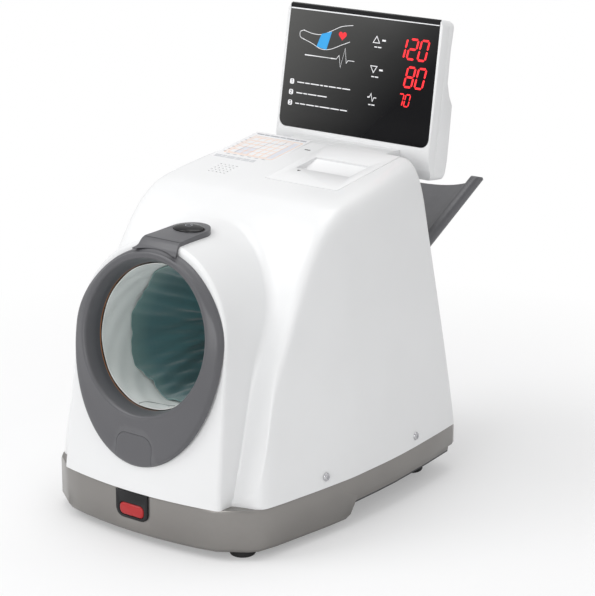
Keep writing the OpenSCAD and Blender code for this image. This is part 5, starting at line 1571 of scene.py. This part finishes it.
@dataclass
class Insides:
    """The soft and hidden pieces inside the housing: air ring, belt, hose and roll."""

    drum: float = 80.5
    drum_back: float = 149.6
    gap: float = 0.3
    roller: Triple = (76.0, -76.0, 8.0)
    belt: Pair = (70.0, 122.0)
    nipple: Pair = (138.0, -18.5)
    hose_r: float = 3.0
    bladder_front: float = 22.0
    bladder_wall: float = 2.5
    lobes: int = 3
    lobe_high: float = 4.2
    belt_thick: float = 0.9
    belt_lift: float = 0.5

    def bladder(self) -> None:
        """Builds the air ring: three full lobes with welded seams between them."""
        outer, around, rows = self.drum - self.bladder_wall - self.gap, 120, 72
        long = self.drum_back - 4 - self.bladder_front

        def form(u: float, v: float) -> Triple:
            a, there_and_back = ring_angle(u, around), ring_angle(v, rows) / math.pi
            s = min(there_and_back, 2 - there_and_back)
            r = outer
            if there_and_back <= 1:
                lobe = abs(math.sin(math.pi * self.lobes * s)) ** 0.6
                r -= 1.4 + self.lobe_high * lobe + 0.25 * lobe * math.sin(40 * a + 2 * math.sin(9 * s))
            return r * math.cos(a), r * math.sin(a), -self.bladder_front - long * s

        obj = Bench.place(Bench.sheet_form("air_ring", around, rows, form), PLACES.tunnel)
        Bench.outwards(obj)
        Bench.soften(obj, 0, shade=60)
        dress(obj, BLADDER, "monitor", "cuff_bladder")

    def belt_strap(self) -> None:
        """Builds the flat belt that lies on the drum and runs off to the roller."""
        x, y, r = self.roller
        ang, dist = math.degrees(math.atan2(y, x)), math.hypot(x, y)
        r1, r2 = (radius + self.gap + self.belt_lift for radius in (self.drum, r))
        lift = math.degrees(math.acos((r1 - r2) / dist))
        path = arc(0, 0, r1, ang + lift + 120, ang + lift, 60) + arc(x, y, r2, ang + lift, ang - 120, 30)
        low, high = self.belt[0] - 3.6, self.belt[1] - 0.4

        def form(u: float, v: float) -> Triple:
            px, py = path[round(u * (len(path) - 1))]
            return px, py, -(low + (high - low) * v)

        obj = Bench.place(Bench.sheet_form("pull_belt", len(path) - 1, 10, form), PLACES.tunnel)
        Bench.finish_modifier(obj, "SOLIDIFY", thickness=self.belt_thick * MM, offset=0.0)
        Bench.soften(obj, 0, shade=60)
        dress(obj, BELT, "monitor", "cuff_belt")

    def hose(self) -> None:
        """Builds the air hose from the pump to the drum's nipple, a smooth tube along the CAD route."""
        depth, angle = self.nipple
        cs, sn = math.cos(math.radians(PLACES.tunnel_tilt)), math.sin(math.radians(PLACES.tunnel_tilt))

        def at_nipple(r: float) -> Triple:
            v = r * math.sin(math.radians(angle))
            return (r * math.cos(math.radians(angle)), v * sn + depth * cs, PLACES.ring_height + v * cs - depth * sn)

        route = curve_through([
            (62, 272, 75.2), (62, 272, 82), (66, 262, 94), (80, 240, 100), (95, 210, 100), (102, 180, 104),
            (106, 158, 116), (104, 138, 132), at_nipple(self.drum + 15), at_nipple(self.drum + 6.3)], 6)
        obj = Bench.swept(
            "air_hose_made", [Vector(point) for point in route], self.hose_r, 20, lambda here: Vector((0.3, 1, 0.2)))
        Bench.place(obj, PLACES.front)
        Bench.soften(obj, 0, shade=60)
        dress(obj, HOSE, "monitor", "air_hose")

    def build(self) -> None:
        """Builds the soft pieces, and rounds the edges of what shows when the lid is open."""
        self.bladder()
        self.belt_strap()
        self.hose()
        dress_refined("printer_bucket", 0.3)
        dress_refined("paper_roll", 0.3, body="paper")
        dress_refined("liner_trim", 0.0)


# ---------------------------------------------------------------- studio


@dataclass(frozen=True)
class Studio:
    """The camera of the photograph, a pale floor and soft light."""

    eye: Triple = (1.38013, -1.73524, 0.836987)
    look: Triple = (-0.59302, 0.75447, -0.28129)
    lens: float = 138.926
    shadow: Pair = (0.34, 0.75)
    lift: float = 0.3
    ambient: float = 0.63
    paper: Triple = (0.86, 0.86, 0.865)
    aim: Triple = (0.0, 0.0, 0.2)
    lamps: tuple[tuple[str, Triple, float, float], ...] = (
        ("key", (-1.5, -1.6, 2.4), 1.5, 26), ("front", (0.5, -2.5, 0.95), 1.1, 13),
        ("side", (2.6, -0.6, 1.3), 1.6, 5), ("top", (-0.2, 0.3, 2.5), 1.6, 17))

    def camera(self) -> None:
        """Sets up the camera."""
        data = bpy.data.cameras.new("photo_camera")
        data.lens = self.lens
        data.sensor_width = 36.0
        data.clip_end = 50.0
        obj = bpy.data.objects.new("photo_camera", data)
        bpy.context.scene.collection.objects.link(obj)
        obj.location = self.eye
        obj.rotation_euler = Vector(self.look).to_track_quat("-Z", "Y").to_euler()
        bpy.context.scene.camera = obj

    def lamp(self, name: str, at: Triple, size: float, power: float) -> None:
        """Adds a square soft lamp aimed at the object.

        Args:
            name: the lamp.
            at: where it hangs, in metres.
            size: its side, in metres.
            power: its power in watts.
        """
        data = bpy.data.lights.new(name, "AREA")
        data.size = size
        data.energy = power
        obj = bpy.data.objects.new(name, data)
        bpy.context.scene.collection.objects.link(obj)
        obj.location = at
        obj.rotation_euler = (Vector(self.aim) - Vector(at)).to_track_quat("-Z", "Y").to_euler()

    def floor(self) -> None:
        """Lays a pale floor that shows as white and keeps the shadow."""
        Bench.clear()
        bpy.ops.mesh.primitive_plane_add(size=30)
        obj = Bench.named("studio_floor")
        material = bpy.data.materials.new("mat_studio_floor")
        material.use_nodes = True
        tree = material.node_tree
        tree.nodes.clear()
        out = tree.nodes.new("ShaderNodeOutputMaterial")
        paper = tree.nodes.new("ShaderNodeBsdfDiffuse")
        paper.inputs["Color"].default_value = (*self.paper, 1)
        white = tree.nodes.new("ShaderNodeEmission")
        white.inputs["Color"].default_value = (1, 1, 1, 1)
        rays = tree.nodes.new("ShaderNodeLightPath")
        place = tree.nodes.new("ShaderNodeTexCoord").outputs["Object"]
        reach = tree.nodes.new("ShaderNodeVectorMath")
        reach.operation = "LENGTH"
        tree.links.new(place, reach.inputs[0])
        far = NodeKit.spread(tree, reach.outputs["Value"], *self.shadow, self.lift, 1.0)
        share = NodeKit.number(tree, "MULTIPLY", far, rays.outputs["Is Camera Ray"])
        both = tree.nodes.new("ShaderNodeMixShader")
        tree.links.new(share, both.inputs["Fac"])
        tree.links.new(paper.outputs[0], both.inputs[1])
        tree.links.new(white.outputs[0], both.inputs[2])
        tree.links.new(both.outputs[0], out.inputs["Surface"])
        obj.data.materials.append(material)

    def sky(self) -> None:
        """Makes a plain soft surround that the camera sees as white."""
        world = bpy.data.worlds.new("studio")
        bpy.context.scene.world = world
        world.use_nodes = True
        tree = world.node_tree
        back = tree.nodes["Background"]
        rays = tree.nodes.new("ShaderNodeLightPath")
        seen = NodeKit.number(tree, "MAXIMUM", rays.outputs["Is Camera Ray"], rays.outputs["Is Transmission Ray"])
        strength = NodeKit.spread(tree, seen, 0, 1, self.ambient, 1.0)
        back.inputs["Color"].default_value = (1, 1, 1, 1)
        tree.links.new(strength, back.inputs["Strength"])

    def build(self) -> None:
        """Builds the studio."""
        bpy.context.scene.view_settings.view_transform = "Standard"
        self.camera()
        for lamp in self.lamps:
            self.lamp(*lamp)
        self.floor()
        self.sky()


def main() -> None:
    """Builds the studio and each sub-assembly in turn."""
    logging.basicConfig(level=logging.INFO, format="%(name)s: %(message)s")
    NodeKit.build()
    Studio().build()
    dress_cad_nodes()
    form = Cover().build()
    ArmRest().build()
    Base().build()
    ring = CuffFront().build()
    Bridge().build(form, ring)
    Sleeve().build()
    Deck().build()
    Display().build()
    Insides().build()
    LOG.info("all pieces are in place")


if __name__ == "__main__":
    main()
